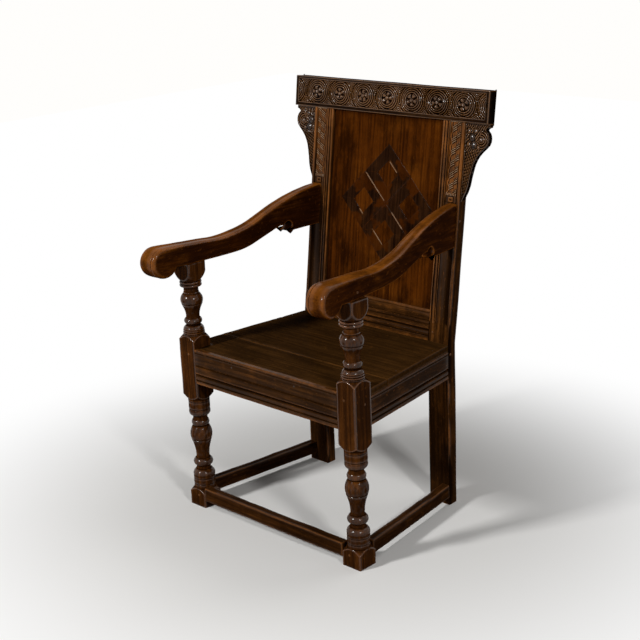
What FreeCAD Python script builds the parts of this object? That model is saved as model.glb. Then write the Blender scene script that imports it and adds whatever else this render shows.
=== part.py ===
import FreeCAD, Part
import math
import os

# Wainscot armchair in dark oak: two turned front posts, two raked back stiles,
# a carved cresting rail with ear brackets, an inlaid panel, moulded seat rails,
# a plank seat, two down-swept arms and three low stretchers, all pegged.
# Millimetres. +X is the right hand of someone facing the chair, the chair
# faces -Y, +Z is up, and the origin is the middle of its bounding box on the floor.

# Overall plan of the frame
front_width = 570.0
rear_width = 471.0
frame_depth = 391.0
block_size = 54.0

# Heights of the frame
seat_height = 420.0
foot_block_top = 46.0
seat_block_below_seat = 134.0
seat_block_above_seat = 30.0
arm_rise = 212.0
rail_height = 87.0
stretcher_bottom_height = 20.0

# Back stiles and the rake of the back above the seat
stile_width = 62.0
stile_depth = 29.0
back_rise = 526.0
rake_degrees = 7.8

# Fits
fit_gap = 0.3
tenon_end_gap = 1.5
overrun = 5.0

# Turned front posts
turning_radius = 26.8
shoulder_length = 13.0
arch_length = 30.0
capital_height = 61.0
capital_collar_height = 18.0
turned_flat_count = 3
arch_flat_count = 3
post_pin_diameter = 26.0
post_pin_length = 32.0

# Seat rails, their run mouldings and the rebate for the seat
rail_thickness = 26.0
rail_lip_width = 13.0
seat_thickness = 18.0
rear_rail_thickness = 20.0
moulding_depth = 3.0
moulding_bead_width = 13.0
moulding_channel_width = 5.0
moulding_margin = 9.0
top_bead_width = 6.0
scribe_width = 1.6

# Stretchers
stretcher_height = 34.0
stretcher_thickness = 22.0
stretcher_wear = 3.0

# Tenons of the rails and stretchers
tenon_thickness = 9.0
tenon_setback = 10.0
rail_tenon_length = 30.0
rail_tenon_shoulder = 3.0
stile_tenon_length = 17.0
stretcher_tenon_length = 24.0
stretcher_tenon_shoulder = 4.0

# Seat boards
front_board_width = 116.0
board_joint_gap = 0.6
board_edge_round = 3.0

# Back panel and its frame
panel_thickness = 10.0
panel_recess = 9.0
panel_groove_depth = 7.0
lower_rail_height = 74.0
lower_rail_thickness = 22.0
lower_rail_tenon_length = 25.0
lower_rail_shoulder = 8.0
stile_bead_width = 7.0

# Lozenge inlay of the panel: four square frames on their points
inlay_cell = 102.5
inlay_band_width = 28.0
inlay_seam = 0.4
inlay_centre_height = 310.0
inlay_centre_offset = 9.0
inlay_depth = 2.0
inlay_proud = 0.8

# Cresting rail
crest_overhang = 66.5
crest_height = 75.0
crest_thickness = 26.0
crest_proud = 4.0
crest_top_fillet = 6.0
crest_bottom_fillet = 9.0
crest_end_fillet = 8.0
crest_field_depth = 2.5
rosette_count = 7
rosette_pitch = 76.6
rosette_radius = 28.5
rosette_boss_radius = 11.0
rosette_sides = 20
crest_tenon_height = 42.0
crest_tenon_width = 34.0
crest_tenon_thickness = 9.0

# Carved strip sunk in each stile
strip_width = 33.0
strip_inset = 9.0
strip_length = 182.0
strip_depth = 1.5

# Ear brackets under the crest
ear_setback = 14.5
ear_height = 183.0
ear_thickness = 24.0

# Arms
arm_front_width = 48.0
arm_rear_width = 31.0
arm_outer_setback = 3.0
knob_reach = 60.0
knob_radius = 36.0
knob_centre_rise = 16.0
notch_radius = 13.5
arm_rear_rise = 120.0
arm_round = 7.0
arm_flat_count = 11
knob_flat_count = 12
notch_flat_count = 5
arm_tenon_length = 18.0
arm_tenon_height = 56.0
arm_tenon_thickness = 11.0
arm_tenon_shoulder = 8.0

# Oak pegs and iron nails
peg_diameter = 7.0
peg_proud = 0.8
peg_setback = 22.0
peg_drop = 15.0
peg_sides = 8
nail_head_diameter = 7.0
nail_head_height = 1.2
nail_shank_width = 2.6
nail_length = 30.0

# Places worked out from the sizes above
rake = math.radians(rake_degrees)
half_front = front_width / 2
half_rear = rear_width / 2
half_block = block_size / 2
corner_radius = math.hypot(half_block, half_block) + scribe_width
rail_bottom_height = seat_height - rail_height
seat_block_bottom = seat_height - seat_block_below_seat
seat_block_top = seat_height + seat_block_above_seat
arm_seat_height = seat_height + arm_rise
capital_collar_bottom = arm_seat_height - capital_height
capital_collar_top = capital_collar_bottom + capital_collar_height
ear_width = crest_overhang - ear_setback
side_splay = math.atan2(half_front - half_rear, frame_depth)
knob_front = knob_reach + knob_radius
crest_top_rise = back_rise + crest_height
rear_reach = (
    frame_depth
    + crest_top_rise * math.sin(rake)
    + (crest_thickness - crest_proud) * math.cos(rake)
)
front_y = (knob_front - rear_reach) / 2
rear_y = front_y + frame_depth
stile_inner = half_rear - stile_width
post_x = half_front - half_block
post_y = front_y + half_block
peg_hole_diameter = peg_diameter + fit_gap


def vec(x, y, z):
    return FreeCAD.Vector(x, y, z)


def box(x0, y0, z0, x1, y1, z1):
    return Part.makeBox(x1 - x0, y1 - y0, z1 - z0, vec(x0, y0, z0))


def polygon_face(points):
    return Part.Face(Part.makePolygon(list(points) + [points[0]]))


def mirrored(shape):
    return shape.mirror(vec(0, 0, 0), vec(1, 0, 0))


def raked(shape):
    # Tilts a piece drawn upright so that it leans with the back.
    turned = shape.copy()
    turned.rotate(vec(0, rear_y, seat_height), vec(1, 0, 0), -rake_degrees)
    return turned


def grown(x0, y0, z0, x1, y1, z1, gap):
    return box(x0 - gap, y0 - gap, z0 - gap, x1 + gap, y1 + gap, z1 + gap)


def side_line_x(y):
    # Outer face of the side rails: half the seat's width at this depth.
    return half_front - (y - front_y) * math.tan(side_splay)


def compound(shapes):
    return Part.makeCompound(shapes)


nodes = {}


def keep_pair(name, shape):
    # The right-hand piece and its mirror image on the left.
    nodes[name + "_right"] = shape
    nodes[name + "_left"] = mirrored(shape)


# Front posts: one square billet each, turned between its square blocks.
# A row is (height share, radius share); a row of four bows through its first pair.
leg_shares = (
    (0.000, 0.99), (0.140, 0.99), (0.180, 0.96, 0.208, 0.66), (0.246, 0.66),
    (0.2895, 0.93, 0.333, 0.66), (0.352, 0.61), (0.430, 0.66), (0.500, 0.82),
    (0.570, 0.98), (0.635, 0.98), (0.690, 0.78), (0.697, 0.72), (0.7275, 0.84, 0.758, 0.72),
    (0.766, 0.67), (0.804, 0.67), (0.824, 0.93, 0.862, 0.99), (1.000, 0.99),
)
support_shares = (
    (0.000, 0.99), (0.085, 0.99), (0.150, 0.95, 0.195, 0.66), (0.223, 0.66),
    (0.285, 0.84, 0.347, 0.66), (0.372, 0.61), (0.400, 0.61), (0.500, 0.69),
    (0.600, 0.88), (0.690, 0.99), (0.780, 0.99), (0.851, 0.76), (0.870, 0.67), (0.990, 0.67),
    (1.000, 0.88),
)


def bowed(start, through, end, flat_count):
    # A bow is cut in short flats, as the edge of a chisel leaves it.
    ends_count = flat_count + 1
    return Part.Arc(start, through, end).toShape().discretize(Number=ends_count)[1:]


def turned_points(shares, bottom, top, start):
    # Profile points of a turned stretch in the XZ plane, from its bottom to its top.
    points = [start]
    for row in shares:
        places = [
            vec(turning_radius * row[k + 1], 0, bottom + (top - bottom) * row[k])
            for k in range(0, len(row), 2)
        ]
        if len(places) == 2:
            points += bowed(points[-1], places[0], places[1], turned_flat_count)
        elif points[-1].distanceToPoint(places[0]) > 0:
            points += places
    return points[1:]


def front_post():
    # Upright right-hand post with its foot on the floor, before any mortise.
    pin_radius = post_pin_diameter / 2
    pin_top = arm_seat_height + post_pin_length
    edge_radius = turning_radius * leg_shares[0][1]
    leg = [
        vec(0, 0, 0),
        vec(corner_radius, 0, 0),
        vec(corner_radius, 0, foot_block_top - shoulder_length),
        vec(edge_radius, 0, foot_block_top),
    ]
    leg += turned_points(leg_shares, foot_block_top, seat_block_bottom, leg[-1])
    block = [
        vec(corner_radius, 0, seat_block_bottom + shoulder_length),
        vec(corner_radius, 0, seat_block_top - shoulder_length),
        vec(edge_radius, 0, seat_block_top),
    ]
    support = turned_points(support_shares, seat_block_top, capital_collar_bottom, block[-1])
    collar_round = capital_collar_height / 4
    collar_top = vec(turning_radius, 0, capital_collar_top)
    arch_bow_share = 0.72
    arch_bow = vec(
        turning_radius + (corner_radius - turning_radius) * arch_bow_share,
        0,
        capital_collar_top + arch_length / 2,
    )
    arch_end = vec(corner_radius, 0, capital_collar_top + arch_length)
    capital = [vec(turning_radius, 0, capital_collar_bottom + collar_round), collar_top]
    capital += bowed(collar_top, arch_bow, arch_end, arch_flat_count)
    capital += [
        vec(corner_radius, 0, arm_seat_height),
        vec(pin_radius, 0, arm_seat_height),
        vec(pin_radius, 0, pin_top),
        vec(0, 0, pin_top),
    ]
    profile = polygon_face(leg + block + support + capital)
    billet = box(-half_block, -half_block, 0, half_block, half_block, pin_top)
    turned = profile.revolve(vec(0, 0, 0), vec(0, 0, 1), 360).common(billet)
    turned.translate(vec(post_x, post_y, 0))
    return turned


# Tenons of the front rails and stretchers, as boxes in the right half.
post_inner = half_front - block_size
rail_top_tenon = seat_height - seat_thickness - rail_tenon_shoulder
front_top_tenon = seat_height - rail_tenon_shoulder
rail_low_tenon = rail_bottom_height + rail_tenon_shoulder
stretcher_top_height = stretcher_bottom_height + stretcher_height
stretcher_low_tenon = stretcher_bottom_height + stretcher_tenon_shoulder
stretcher_top_tenon = stretcher_top_height - stretcher_tenon_shoulder
front_tenon_front = front_y + tenon_setback
front_tenon_back = front_tenon_front + tenon_thickness


def front_rail_tenon(end_gap, gap):
    return grown(
        post_inner, front_tenon_front, rail_low_tenon,
        post_inner + rail_tenon_length + end_gap - gap, front_tenon_back, front_top_tenon, gap,
    )


def front_stretcher_tenon(end_gap, gap):
    return grown(
        post_inner, front_tenon_front, stretcher_low_tenon,
        post_inner + stretcher_tenon_length + end_gap - gap, front_tenon_back, stretcher_top_tenon, gap,
    )


def along_side(inset_outer, inset_inner, y0, y1, z0, z1):
    # A straight piece beside the outer face of the seat's right side.
    corners = (
        vec(side_line_x(y0) - inset_outer, y0, z0),
        vec(side_line_x(y1) - inset_outer, y1, z0),
        vec(side_line_x(y1) - inset_inner, y1, z0),
        vec(side_line_x(y0) - inset_inner, y0, z0),
    )
    return polygon_face(corners).extrude(vec(0, 0, z1 - z0))


def side_tenons(z0, z1, front_length, rear_length, end_gap, gap):
    # The two tenons at the ends of a side rail or a side stretcher.
    inset = tenon_setback - gap
    inner = tenon_setback + tenon_thickness + gap
    front_face = front_y + block_size
    low = z0 - gap
    high = z1 + gap
    front_tenon = along_side(inset, inner, front_face - front_length - end_gap, front_face, low, high)
    rear_tenon = along_side(inset, inner, rear_y, rear_y + rear_length + end_gap, low, high)
    return front_tenon, rear_tenon


rail_tenon_sizes = (rail_low_tenon, rail_top_tenon, rail_tenon_length, stile_tenon_length)
stretcher_tenon_sizes = (
    stretcher_low_tenon, stretcher_top_tenon, stretcher_tenon_length, stile_tenon_length,
)


def riven(diameter, length, sides):
    # A pin riven and shaved to flat sides, standing on the origin.
    corner = diameter / 2 / math.cos(math.pi / sides)
    turns = [2 * math.pi * (side + 1 / 2) / sides for side in range(sides)]
    section = polygon_face([vec(corner * math.cos(turn), corner * math.sin(turn), 0) for turn in turns])
    return section.extrude(vec(0, 0, length))


def peg_x(x, z, y0, y1, diameter):
    # A peg driven from the front or the back.
    peg = riven(diameter, y1 - y0, peg_sides)
    peg.rotate(vec(0, 0, 0), vec(1, 0, 0), -90)
    peg.translate(vec(x, y0, z))
    return peg


def peg_side(y, z, x0, x1, diameter):
    # A peg driven from the side.
    peg = riven(diameter, x1 - x0, peg_sides)
    peg.rotate(vec(0, 0, 0), vec(0, 1, 0), 90)
    peg.translate(vec(x0, y, z))
    return peg


# Pegs of the front posts: one in each seat rail joint and one in each stretcher joint.
# The front and side pegs of a block cross, so the side peg sits a little lower.
peg_depth = block_size * 0.55
front_peg_level = seat_height - peg_drop
side_peg_level = front_peg_level - peg_diameter * 1.6
stretcher_level = stretcher_bottom_height + stretcher_height / 2
front_peg_x = post_inner + peg_setback
side_peg_y = front_y + block_size - peg_setback
side_peg_y_rear = rear_y + stile_tenon_length / 2


def front_peg(z, diameter, proud):
    return peg_x(front_peg_x, z, front_y - proud, front_y + peg_depth, diameter)


def side_peg(z, diameter, proud):
    return peg_side(side_peg_y, z, half_front - peg_depth, half_front + proud, diameter)


def post_pegs(diameter, proud):
    return [front_peg(front_peg_level, diameter, proud), side_peg(side_peg_level, diameter, proud)]


def stretcher_pegs(diameter, proud):
    return [
        front_peg(stretcher_level - peg_diameter, diameter, proud),
        side_peg(stretcher_level + peg_diameter, diameter, proud),
    ]


def stile_side_peg(diameter, proud):
    # Peg through the outer edge of the right stile into the side rail's tenon.
    stile_peg_depth = stile_width * 0.45
    return peg_side(
        side_peg_y_rear, side_peg_level, half_rear - stile_peg_depth, half_rear + proud, diameter
    )


def arm_pin_peg(diameter, proud):
    # Peg through the arm into the round pin on top of the right-hand post.
    z = arm_seat_height + post_pin_length / 2
    return peg_side(post_y, z, post_x - half_block * 0.8, arm_outer_x(post_y) + proud, diameter)


def arm_outer_x(y):
    # The arm's outer face starts flush with the stile and ends a little inside the post's face.
    return side_line_x(y) - arm_outer_setback * (rear_y - y) / frame_depth


right_post = front_post()
right_post = right_post.cut(front_rail_tenon(tenon_end_gap, fit_gap))
right_post = right_post.cut(front_stretcher_tenon(tenon_end_gap, fit_gap))
rail_mortises = side_tenons(*rail_tenon_sizes, tenon_end_gap, fit_gap)
stretcher_mortises = side_tenons(*stretcher_tenon_sizes, tenon_end_gap, fit_gap)
right_post = right_post.cut(rail_mortises[0]).cut(stretcher_mortises[0])
for hole in post_pegs(peg_hole_diameter, overrun) + stretcher_pegs(peg_hole_diameter, overrun):
    right_post = right_post.cut(hole)
right_post = right_post.cut(arm_pin_peg(peg_hole_diameter, overrun))
keep_pair("front_post", right_post)


# Back stiles: a straight leg to the seat, then raked, cut from one thick board.
back_top = seat_height + back_rise


def stile_plain():
    leg = box(stile_inner, rear_y, 0, half_rear, rear_y + stile_depth, seat_height)
    upper = raked(box(stile_inner, rear_y, seat_height, half_rear, rear_y + stile_depth, back_top))
    knee_face = polygon_face((
        vec(stile_inner, rear_y, seat_height),
        vec(stile_inner, rear_y + stile_depth, seat_height),
        vec(stile_inner, rear_y + stile_depth * math.cos(rake), seat_height - stile_depth * math.sin(rake)),
    ))
    knee = knee_face.extrude(vec(stile_width, 0, 0))
    return leg.fuse(upper).fuse(knee).removeSplitter()


def crest_tenon(gap, end_gap):
    middle = (stile_inner + half_rear) / 2
    front = rear_y + (stile_depth - crest_tenon_thickness) / 2 - crest_proud
    return raked(box(
        middle - crest_tenon_width / 2 - gap, front - gap, back_top,
        middle + crest_tenon_width / 2 + gap, front + crest_tenon_thickness + gap,
        back_top + crest_tenon_height + end_gap,
    ))


groove_front = rear_y + panel_recess
groove_back = groove_front + panel_thickness


def panel_groove(gap):
    # Groove in the right stile's inner edge, from the lower rail to the crest.
    low = seat_height + lower_rail_height - panel_groove_depth
    return raked(box(
        stile_inner - overrun, groove_front - gap, low,
        stile_inner + panel_groove_depth + gap, groove_back + gap, back_top + overrun,
    ))


lower_rail_tenon_front = rear_y + (lower_rail_thickness - tenon_thickness) / 2
lower_rail_low = seat_height + lower_rail_shoulder
lower_rail_high = seat_height + lower_rail_height - lower_rail_shoulder - panel_groove_depth


def lower_rail_tenon(gap, end_gap):
    return raked(box(
        stile_inner - overrun, lower_rail_tenon_front - gap, lower_rail_low - gap,
        stile_inner + lower_rail_tenon_length + end_gap, lower_rail_tenon_front + tenon_thickness + gap,
        lower_rail_high + gap,
    ))


rear_tenon_front = rear_y + (rear_rail_thickness - tenon_thickness) / 2


def rear_rail_tenon(gap, end_gap):
    return box(
        stile_inner - overrun, rear_tenon_front - gap, rail_low_tenon - gap,
        stile_inner + lower_rail_tenon_length + end_gap, rear_tenon_front + tenon_thickness + gap,
        rail_top_tenon + gap,
    )


arm_tenon_x = half_rear - arm_rear_width / 2
arm_tenon_base = arm_rise + arm_rear_rise - arm_tenon_height - arm_tenon_shoulder


def arm_tenon(gap, end_gap):
    low = seat_height + arm_tenon_base
    return raked(box(
        arm_tenon_x - arm_tenon_thickness / 2 - gap, rear_y - overrun, low - gap,
        arm_tenon_x + arm_tenon_thickness / 2 + gap, rear_y + arm_tenon_length + end_gap,
        low + arm_tenon_height + gap,
    ))


def raked_peg_through(x, rise, y0, y1, diameter):
    return raked(peg_x(x, seat_height + rise, y0, y1, diameter))


back_peg_x = stile_inner + lower_rail_tenon_length / 2
lower_peg_rises = (
    lower_rail_low - seat_height + (lower_rail_high - lower_rail_low) / 4,
    lower_rail_low - seat_height + (lower_rail_high - lower_rail_low) * 3 / 4,
)
stile_back_y = rear_y + stile_depth


def lower_rail_pegs(diameter, proud):
    return [
        raked_peg_through(back_peg_x, rise, rear_y - proud, rear_y + stile_depth * 0.8, diameter)
        for rise in lower_peg_rises
    ]


def rear_rail_peg(diameter, proud):
    middle = rail_bottom_height + rail_height / 2
    return peg_x(back_peg_x, middle, rear_y + stile_depth / 5, stile_back_y + proud, diameter)


def crest_peg(diameter, proud):
    # Driven from behind, so that the carving keeps its face.
    rise = back_rise + crest_tenon_height / 2
    back = rear_y - crest_proud + crest_thickness
    return raked_peg_through(
        (stile_inner + half_rear) / 2, rise, back - crest_thickness * 0.7, back + proud, diameter
    )


def arm_tenon_peg(diameter, proud):
    rise = arm_tenon_base + arm_tenon_height / 2
    y = rear_y + arm_tenon_length / 2
    return raked(peg_side(y, seat_height + rise, half_rear - stile_width * 0.4, half_rear + proud, diameter))


def stile_edge_beads():
    # Two scribed lines run beads along the front edges of the upper stile.
    cuts = []
    for x in (stile_inner + stile_bead_width, half_rear - strip_inset / 2):
        cuts.append(raked(box(
            x, rear_y - overrun, seat_height, x + scribe_width, rear_y + scribe_width, back_top + overrun
        )))
    return cuts


right_stile = stile_plain().fuse(crest_tenon(0, 0))
right_stile = right_stile.cut(panel_groove(fit_gap))
right_stile = right_stile.cut(lower_rail_tenon(fit_gap, tenon_end_gap))
right_stile = right_stile.cut(rear_rail_tenon(fit_gap, tenon_end_gap))
right_stile = right_stile.cut(arm_tenon(fit_gap, tenon_end_gap))
right_stile = right_stile.cut(rail_mortises[1]).cut(stretcher_mortises[1])
stile_holes = lower_rail_pegs(peg_hole_diameter, overrun)
stile_holes.append(rear_rail_peg(peg_hole_diameter, overrun))
stile_holes.append(stile_side_peg(peg_hole_diameter, overrun))
stile_holes.append(crest_peg(peg_hole_diameter, overrun))
stile_holes.append(arm_tenon_peg(peg_hole_diameter, overrun))
for hole in stile_holes + stile_edge_beads():
    right_stile = right_stile.cut(hole)
strip_x = half_rear - strip_inset
right_stile = right_stile.cut(raked(box(
    strip_x - strip_width, rear_y - overrun, back_top - strip_length,
    strip_x, rear_y + strip_depth, back_top - strip_inset,
)))


# Moulded rails: a section run along the piece, drawn in the YZ plane from the face.
def moulded_section(depth, low, high, lip_depth, lip_low):
    # Face at y = 0, back at y = depth; a lip at the top front when lip_depth is given.
    bead_low = low + moulding_margin
    bead_high = bead_low + moulding_bead_width
    channel_high = bead_high + moulding_channel_width
    top_scribe = high - top_bead_width
    edges = []

    def line(a, b):
        edges.append(Part.LineSegment(a, b).toShape())

    def bow(a, b, c):
        edges.append(Part.Arc(a, b, c).toShape())

    low_corner = vec(0, 0, low)
    bead_start = vec(0, moulding_depth, bead_low)
    bead_end = vec(0, moulding_depth, bead_high)
    line(low_corner, vec(0, 0, bead_low - scribe_width))
    line(vec(0, 0, bead_low - scribe_width), bead_start)
    bow(bead_start, vec(0, 0, (bead_low + bead_high) / 2), bead_end)
    bow(bead_end, vec(0, moulding_depth, (bead_high + channel_high) / 2), vec(0, 0, channel_high))
    scribe_low = top_scribe - scribe_width
    line(vec(0, 0, channel_high), vec(0, 0, scribe_low))
    line(vec(0, 0, scribe_low), vec(0, scribe_width, scribe_low + scribe_width / 2))
    line(vec(0, scribe_width, scribe_low + scribe_width / 2), vec(0, 0, top_scribe))
    line(vec(0, 0, top_scribe), vec(0, 0, high - scribe_width))
    line(vec(0, 0, high - scribe_width), vec(0, scribe_width, high))
    if lip_depth:
        line(vec(0, scribe_width, high), vec(0, lip_depth, high))
        line(vec(0, lip_depth, high), vec(0, lip_depth, lip_low))
        line(vec(0, lip_depth, lip_low), vec(0, depth, lip_low))
        line(vec(0, depth, lip_low), vec(0, depth, low))
    else:
        line(vec(0, scribe_width, high), vec(0, depth, high))
        line(vec(0, depth, high), vec(0, depth, low))
    line(vec(0, depth, low), low_corner)
    return Part.Face(Part.Wire(edges))


board_bottom = seat_height - seat_thickness

# Front seat rail, flush with the posts, its top edge standing as a lip before the seat.
front_section = moulded_section(
    rail_thickness, rail_bottom_height, seat_height, rail_lip_width, board_bottom
)
front_section.translate(vec(-post_inner, front_y, 0))
front_rail = front_section.extrude(vec(post_inner * 2, 0, 0))
front_rail = front_rail.fuse(front_rail_tenon(0, 0)).fuse(mirrored(front_rail_tenon(0, 0)))
front_rail_hole = post_pegs(peg_hole_diameter, overrun)[0]
front_rail = front_rail.cut(front_rail_hole).cut(mirrored(front_rail_hole))
nodes["front_seat_rail"] = front_rail


# Side seat rails, flush with the splayed outer line, under the ends of the boards.
def side_member(section_depth, low, high, moulded):
    if moulded:
        section = moulded_section(section_depth, low, high, 0, 0)
    else:
        section = polygon_face((
            vec(0, stretcher_wear, high), vec(0, 0, high - stretcher_wear), vec(0, 0, low),
            vec(0, section_depth, low), vec(0, section_depth, high),
        ))
    long_run = frame_depth + 2 * block_size
    bar = section.extrude(vec(long_run, 0, 0))
    bar.translate(vec(-block_size, 0, 0))
    # The section's face turns to look along +X, and the bar follows the side line.
    bar.rotate(vec(0, 0, 0), vec(0, 0, 1), 90 + math.degrees(side_splay))
    bar.translate(vec(half_front, front_y, 0))
    keep = box(0, front_y + block_size, low - overrun, front_width, rear_y, high + overrun)
    return bar.common(keep)


right_side_rail = side_member(rail_thickness, rail_bottom_height, board_bottom, True)
for tenon in side_tenons(*rail_tenon_sizes, 0, 0):
    right_side_rail = right_side_rail.fuse(tenon)
right_side_rail = right_side_rail.cut(post_pegs(peg_hole_diameter, overrun)[1])
right_side_rail = right_side_rail.cut(stile_side_peg(peg_hole_diameter, overrun))


# Rear seat rail between the stiles, under the rear board.
rear_rail = box(
    -stile_inner, rear_y, rail_bottom_height, stile_inner, rear_y + rear_rail_thickness, board_bottom
)
rear_tenon_right = rear_rail_tenon(0, 0).common(
    box(stile_inner, rear_y, 0, half_rear, rear_y + stile_depth, seat_height)
)
rear_rail = rear_rail.fuse(rear_tenon_right).fuse(mirrored(rear_tenon_right))
rear_hole = rear_rail_peg(peg_hole_diameter, overrun)
rear_rail = rear_rail.cut(rear_hole).cut(mirrored(rear_hole))
nodes["rear_seat_rail"] = rear_rail


# Stretchers low down between the feet: front and sides only.
stretcher_section = polygon_face((
    vec(0, stretcher_wear, stretcher_top_height),
    vec(0, 0, stretcher_top_height - stretcher_wear),
    vec(0, 0, stretcher_bottom_height),
    vec(0, stretcher_thickness, stretcher_bottom_height),
    vec(0, stretcher_thickness, stretcher_top_height),
))
stretcher_section.translate(vec(-post_inner, front_y, 0))
front_stretcher = stretcher_section.extrude(vec(post_inner * 2, 0, 0))
stretcher_tongue = front_stretcher_tenon(0, 0)
front_stretcher = front_stretcher.fuse(stretcher_tongue).fuse(mirrored(stretcher_tongue))
front_hole = stretcher_pegs(peg_hole_diameter, overrun)[0]
front_stretcher = front_stretcher.cut(front_hole).cut(mirrored(front_hole))
nodes["front_stretcher"] = front_stretcher

right_stretcher = side_member(stretcher_thickness, stretcher_bottom_height, stretcher_top_height, False)
for tenon in side_tenons(*stretcher_tenon_sizes, 0, 0):
    right_stretcher = right_stretcher.fuse(tenon)
right_stretcher = right_stretcher.cut(stretcher_pegs(peg_hole_diameter, overrun)[1])
keep_pair("side_stretcher", right_stretcher)


# Seat of two boards laid left to right, notched round the front posts.
def seat_board(y0, y1):
    outline = polygon_face((
        vec(-side_line_x(y0), y0, board_bottom), vec(side_line_x(y0), y0, board_bottom),
        vec(side_line_x(y1), y1, board_bottom), vec(-side_line_x(y1), y1, board_bottom),
    ))
    board = outline.extrude(vec(0, 0, seat_thickness))
    clear_post = grown(
        post_inner, front_y, board_bottom,
        half_front + overrun, front_y + block_size, seat_height, fit_gap,
    )
    return board.cut(clear_post).cut(mirrored(clear_post))


board_front = front_y + rail_lip_width + fit_gap
board_joint = front_y + rail_lip_width + front_board_width
board_back = rear_y - fit_gap
front_board = seat_board(board_front, board_joint)
rear_board = seat_board(board_joint + board_joint_gap, board_back)


def upper_edges_along_x(shape, y):
    chosen = []
    for edge in shape.Edges:
        a = edge.Vertexes[0].Point
        b = edge.Vertexes[-1].Point
        level = abs(a.z - seat_height) < fit_gap and abs(b.z - seat_height) < fit_gap
        if level and abs(a.y - y) < fit_gap and abs(b.y - y) < fit_gap:
            chosen.append(edge)
    return chosen


front_board = front_board.makeFillet(board_edge_round, upper_edges_along_x(front_board, board_front))


def forged_nail(slack, above):
    # Square shank and a beaten head, driven down with the head's top at the origin.
    half_shank = nail_shank_width / 2 + slack
    depth = nail_length + slack
    shank = box(-half_shank, -half_shank, -depth, half_shank, half_shank, 0)
    head = riven(nail_head_diameter + 2 * slack, nail_head_height + above, peg_sides)
    head.translate(vec(0, 0, -nail_head_height))
    return head.fuse(shank)


def seat_nail(x, y, slack, above):
    one = forged_nail(slack, above)
    one.translate(vec(x, y, seat_height))
    return one


nail_inset = rail_thickness / 2
nail_rows = (
    board_front + front_board_width * 0.62,
    board_joint + (board_back - board_joint) * 0.2,
    board_joint + (board_back - board_joint) * 0.8,
)
nail_places = [(side_line_x(y) - nail_inset, y) for y in nail_rows]
nail_places += [(-x, y) for x, y in nail_places]
nail_holes = [seat_nail(x, y, fit_gap / 2, overrun) for x, y in nail_places]
for hole in nail_holes:
    front_board = front_board.cut(hole)
    rear_board = rear_board.cut(hole)
    right_side_rail = right_side_rail.cut(hole)
nodes["seat_board_front"] = front_board
nodes["seat_board_rear"] = rear_board
keep_pair("side_seat_rail", right_side_rail)
nodes["seat_nails"] = compound([seat_nail(x, y, 0, 0) for x, y in nail_places])


# Lower back rail, grooved for the panel, with two run mouldings.
lower_section = moulded_section(
    lower_rail_thickness, seat_height + fit_gap, seat_height + lower_rail_height, 0, 0
)
lower_section.translate(vec(-stile_inner, rear_y, 0))
lower_rail = lower_section.extrude(vec(stile_inner * 2, 0, 0))
groove_low = seat_height + lower_rail_height - panel_groove_depth
lower_rail = lower_rail.cut(box(
    -stile_inner - overrun, groove_front - fit_gap, groove_low - fit_gap,
    stile_inner + overrun, groove_back + fit_gap, seat_height + lower_rail_height + overrun,
))
tenon_only = box(
    stile_inner, lower_rail_tenon_front, lower_rail_low,
    stile_inner + lower_rail_tenon_length, lower_rail_tenon_front + tenon_thickness, lower_rail_high,
)
lower_rail = raked(lower_rail.fuse(tenon_only).fuse(mirrored(tenon_only)))
for hole in lower_rail_pegs(peg_hole_diameter, overrun):
    lower_rail = lower_rail.cut(hole).cut(mirrored(hole))
nodes["lower_back_rail"] = lower_rail


# Panel: one wide board let into the grooves, with pockets for the lozenge inlay.
panel_low = groove_low
panel_high = back_top + panel_groove_depth
panel_half = stile_inner + panel_groove_depth - fit_gap
panel = box(-panel_half, groove_front, panel_low, panel_half, groove_back, panel_high)


def lozenge_strip(centre_u, centre_v, quarter, front, back):
    # One mitred strip of a square frame that stands on its point on the panel.
    outer = inlay_cell / 2 - inlay_seam
    inner = outer - inlay_band_width
    strip = polygon_face((
        vec(-outer + inlay_seam, front, outer), vec(outer - inlay_seam, front, outer),
        vec(inner - inlay_seam, front, inner), vec(-inner + inlay_seam, front, inner),
    )).extrude(vec(0, back - front, 0))
    strip.rotate(vec(0, 0, 0), vec(0, 1, 0), 90 * quarter)
    strip.translate(vec(centre_u, 0, centre_v))
    strip.rotate(vec(0, 0, 0), vec(0, 1, 0), 45)
    strip.translate(vec(inlay_centre_offset, 0, seat_height + inlay_centre_height))
    return strip


def lozenges(front, back):
    step = inlay_cell / 2
    return [
        lozenge_strip(u, v, quarter, front, back)
        for u in (-step, step) for v in (-step, step) for quarter in range(4)
    ]


inlay_front = groove_front - inlay_proud
inlay_back = groove_front + inlay_depth
for pocket in lozenges(groove_front - overrun, inlay_back):
    panel = panel.cut(pocket)
nodes["back_panel"] = raked(panel)
nodes["panel_inlay"] = raked(compound(lozenges(inlay_front, inlay_back)))


# Cresting rail: a thick board over the stiles, its field sunk and set with rosettes.
half_crest = half_rear + crest_overhang
crest_face = rear_y - crest_proud
crest_back = crest_face + crest_thickness
crest = box(-half_crest, crest_face, back_top, half_crest, crest_back, back_top + crest_height)
field_low = back_top + crest_bottom_fillet
field_high = back_top + crest_height - crest_top_fillet
field_floor = crest_face + crest_field_depth
crest = crest.cut(box(
    -half_crest + crest_end_fillet, crest_face - overrun, field_low,
    half_crest - crest_end_fillet, field_floor, field_high,
))
field_middle = (field_low + field_high) / 2



def disc(x, radius, height, sides):
    # A flat disc standing on the sunk field, its rim cut by a chisel in short flats.
    blank = riven(2 * radius, height, sides)
    blank.rotate(vec(0, 0, 0), vec(1, 0, 0), 90)
    blank.translate(vec(x, field_floor, field_middle))
    return blank


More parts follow.
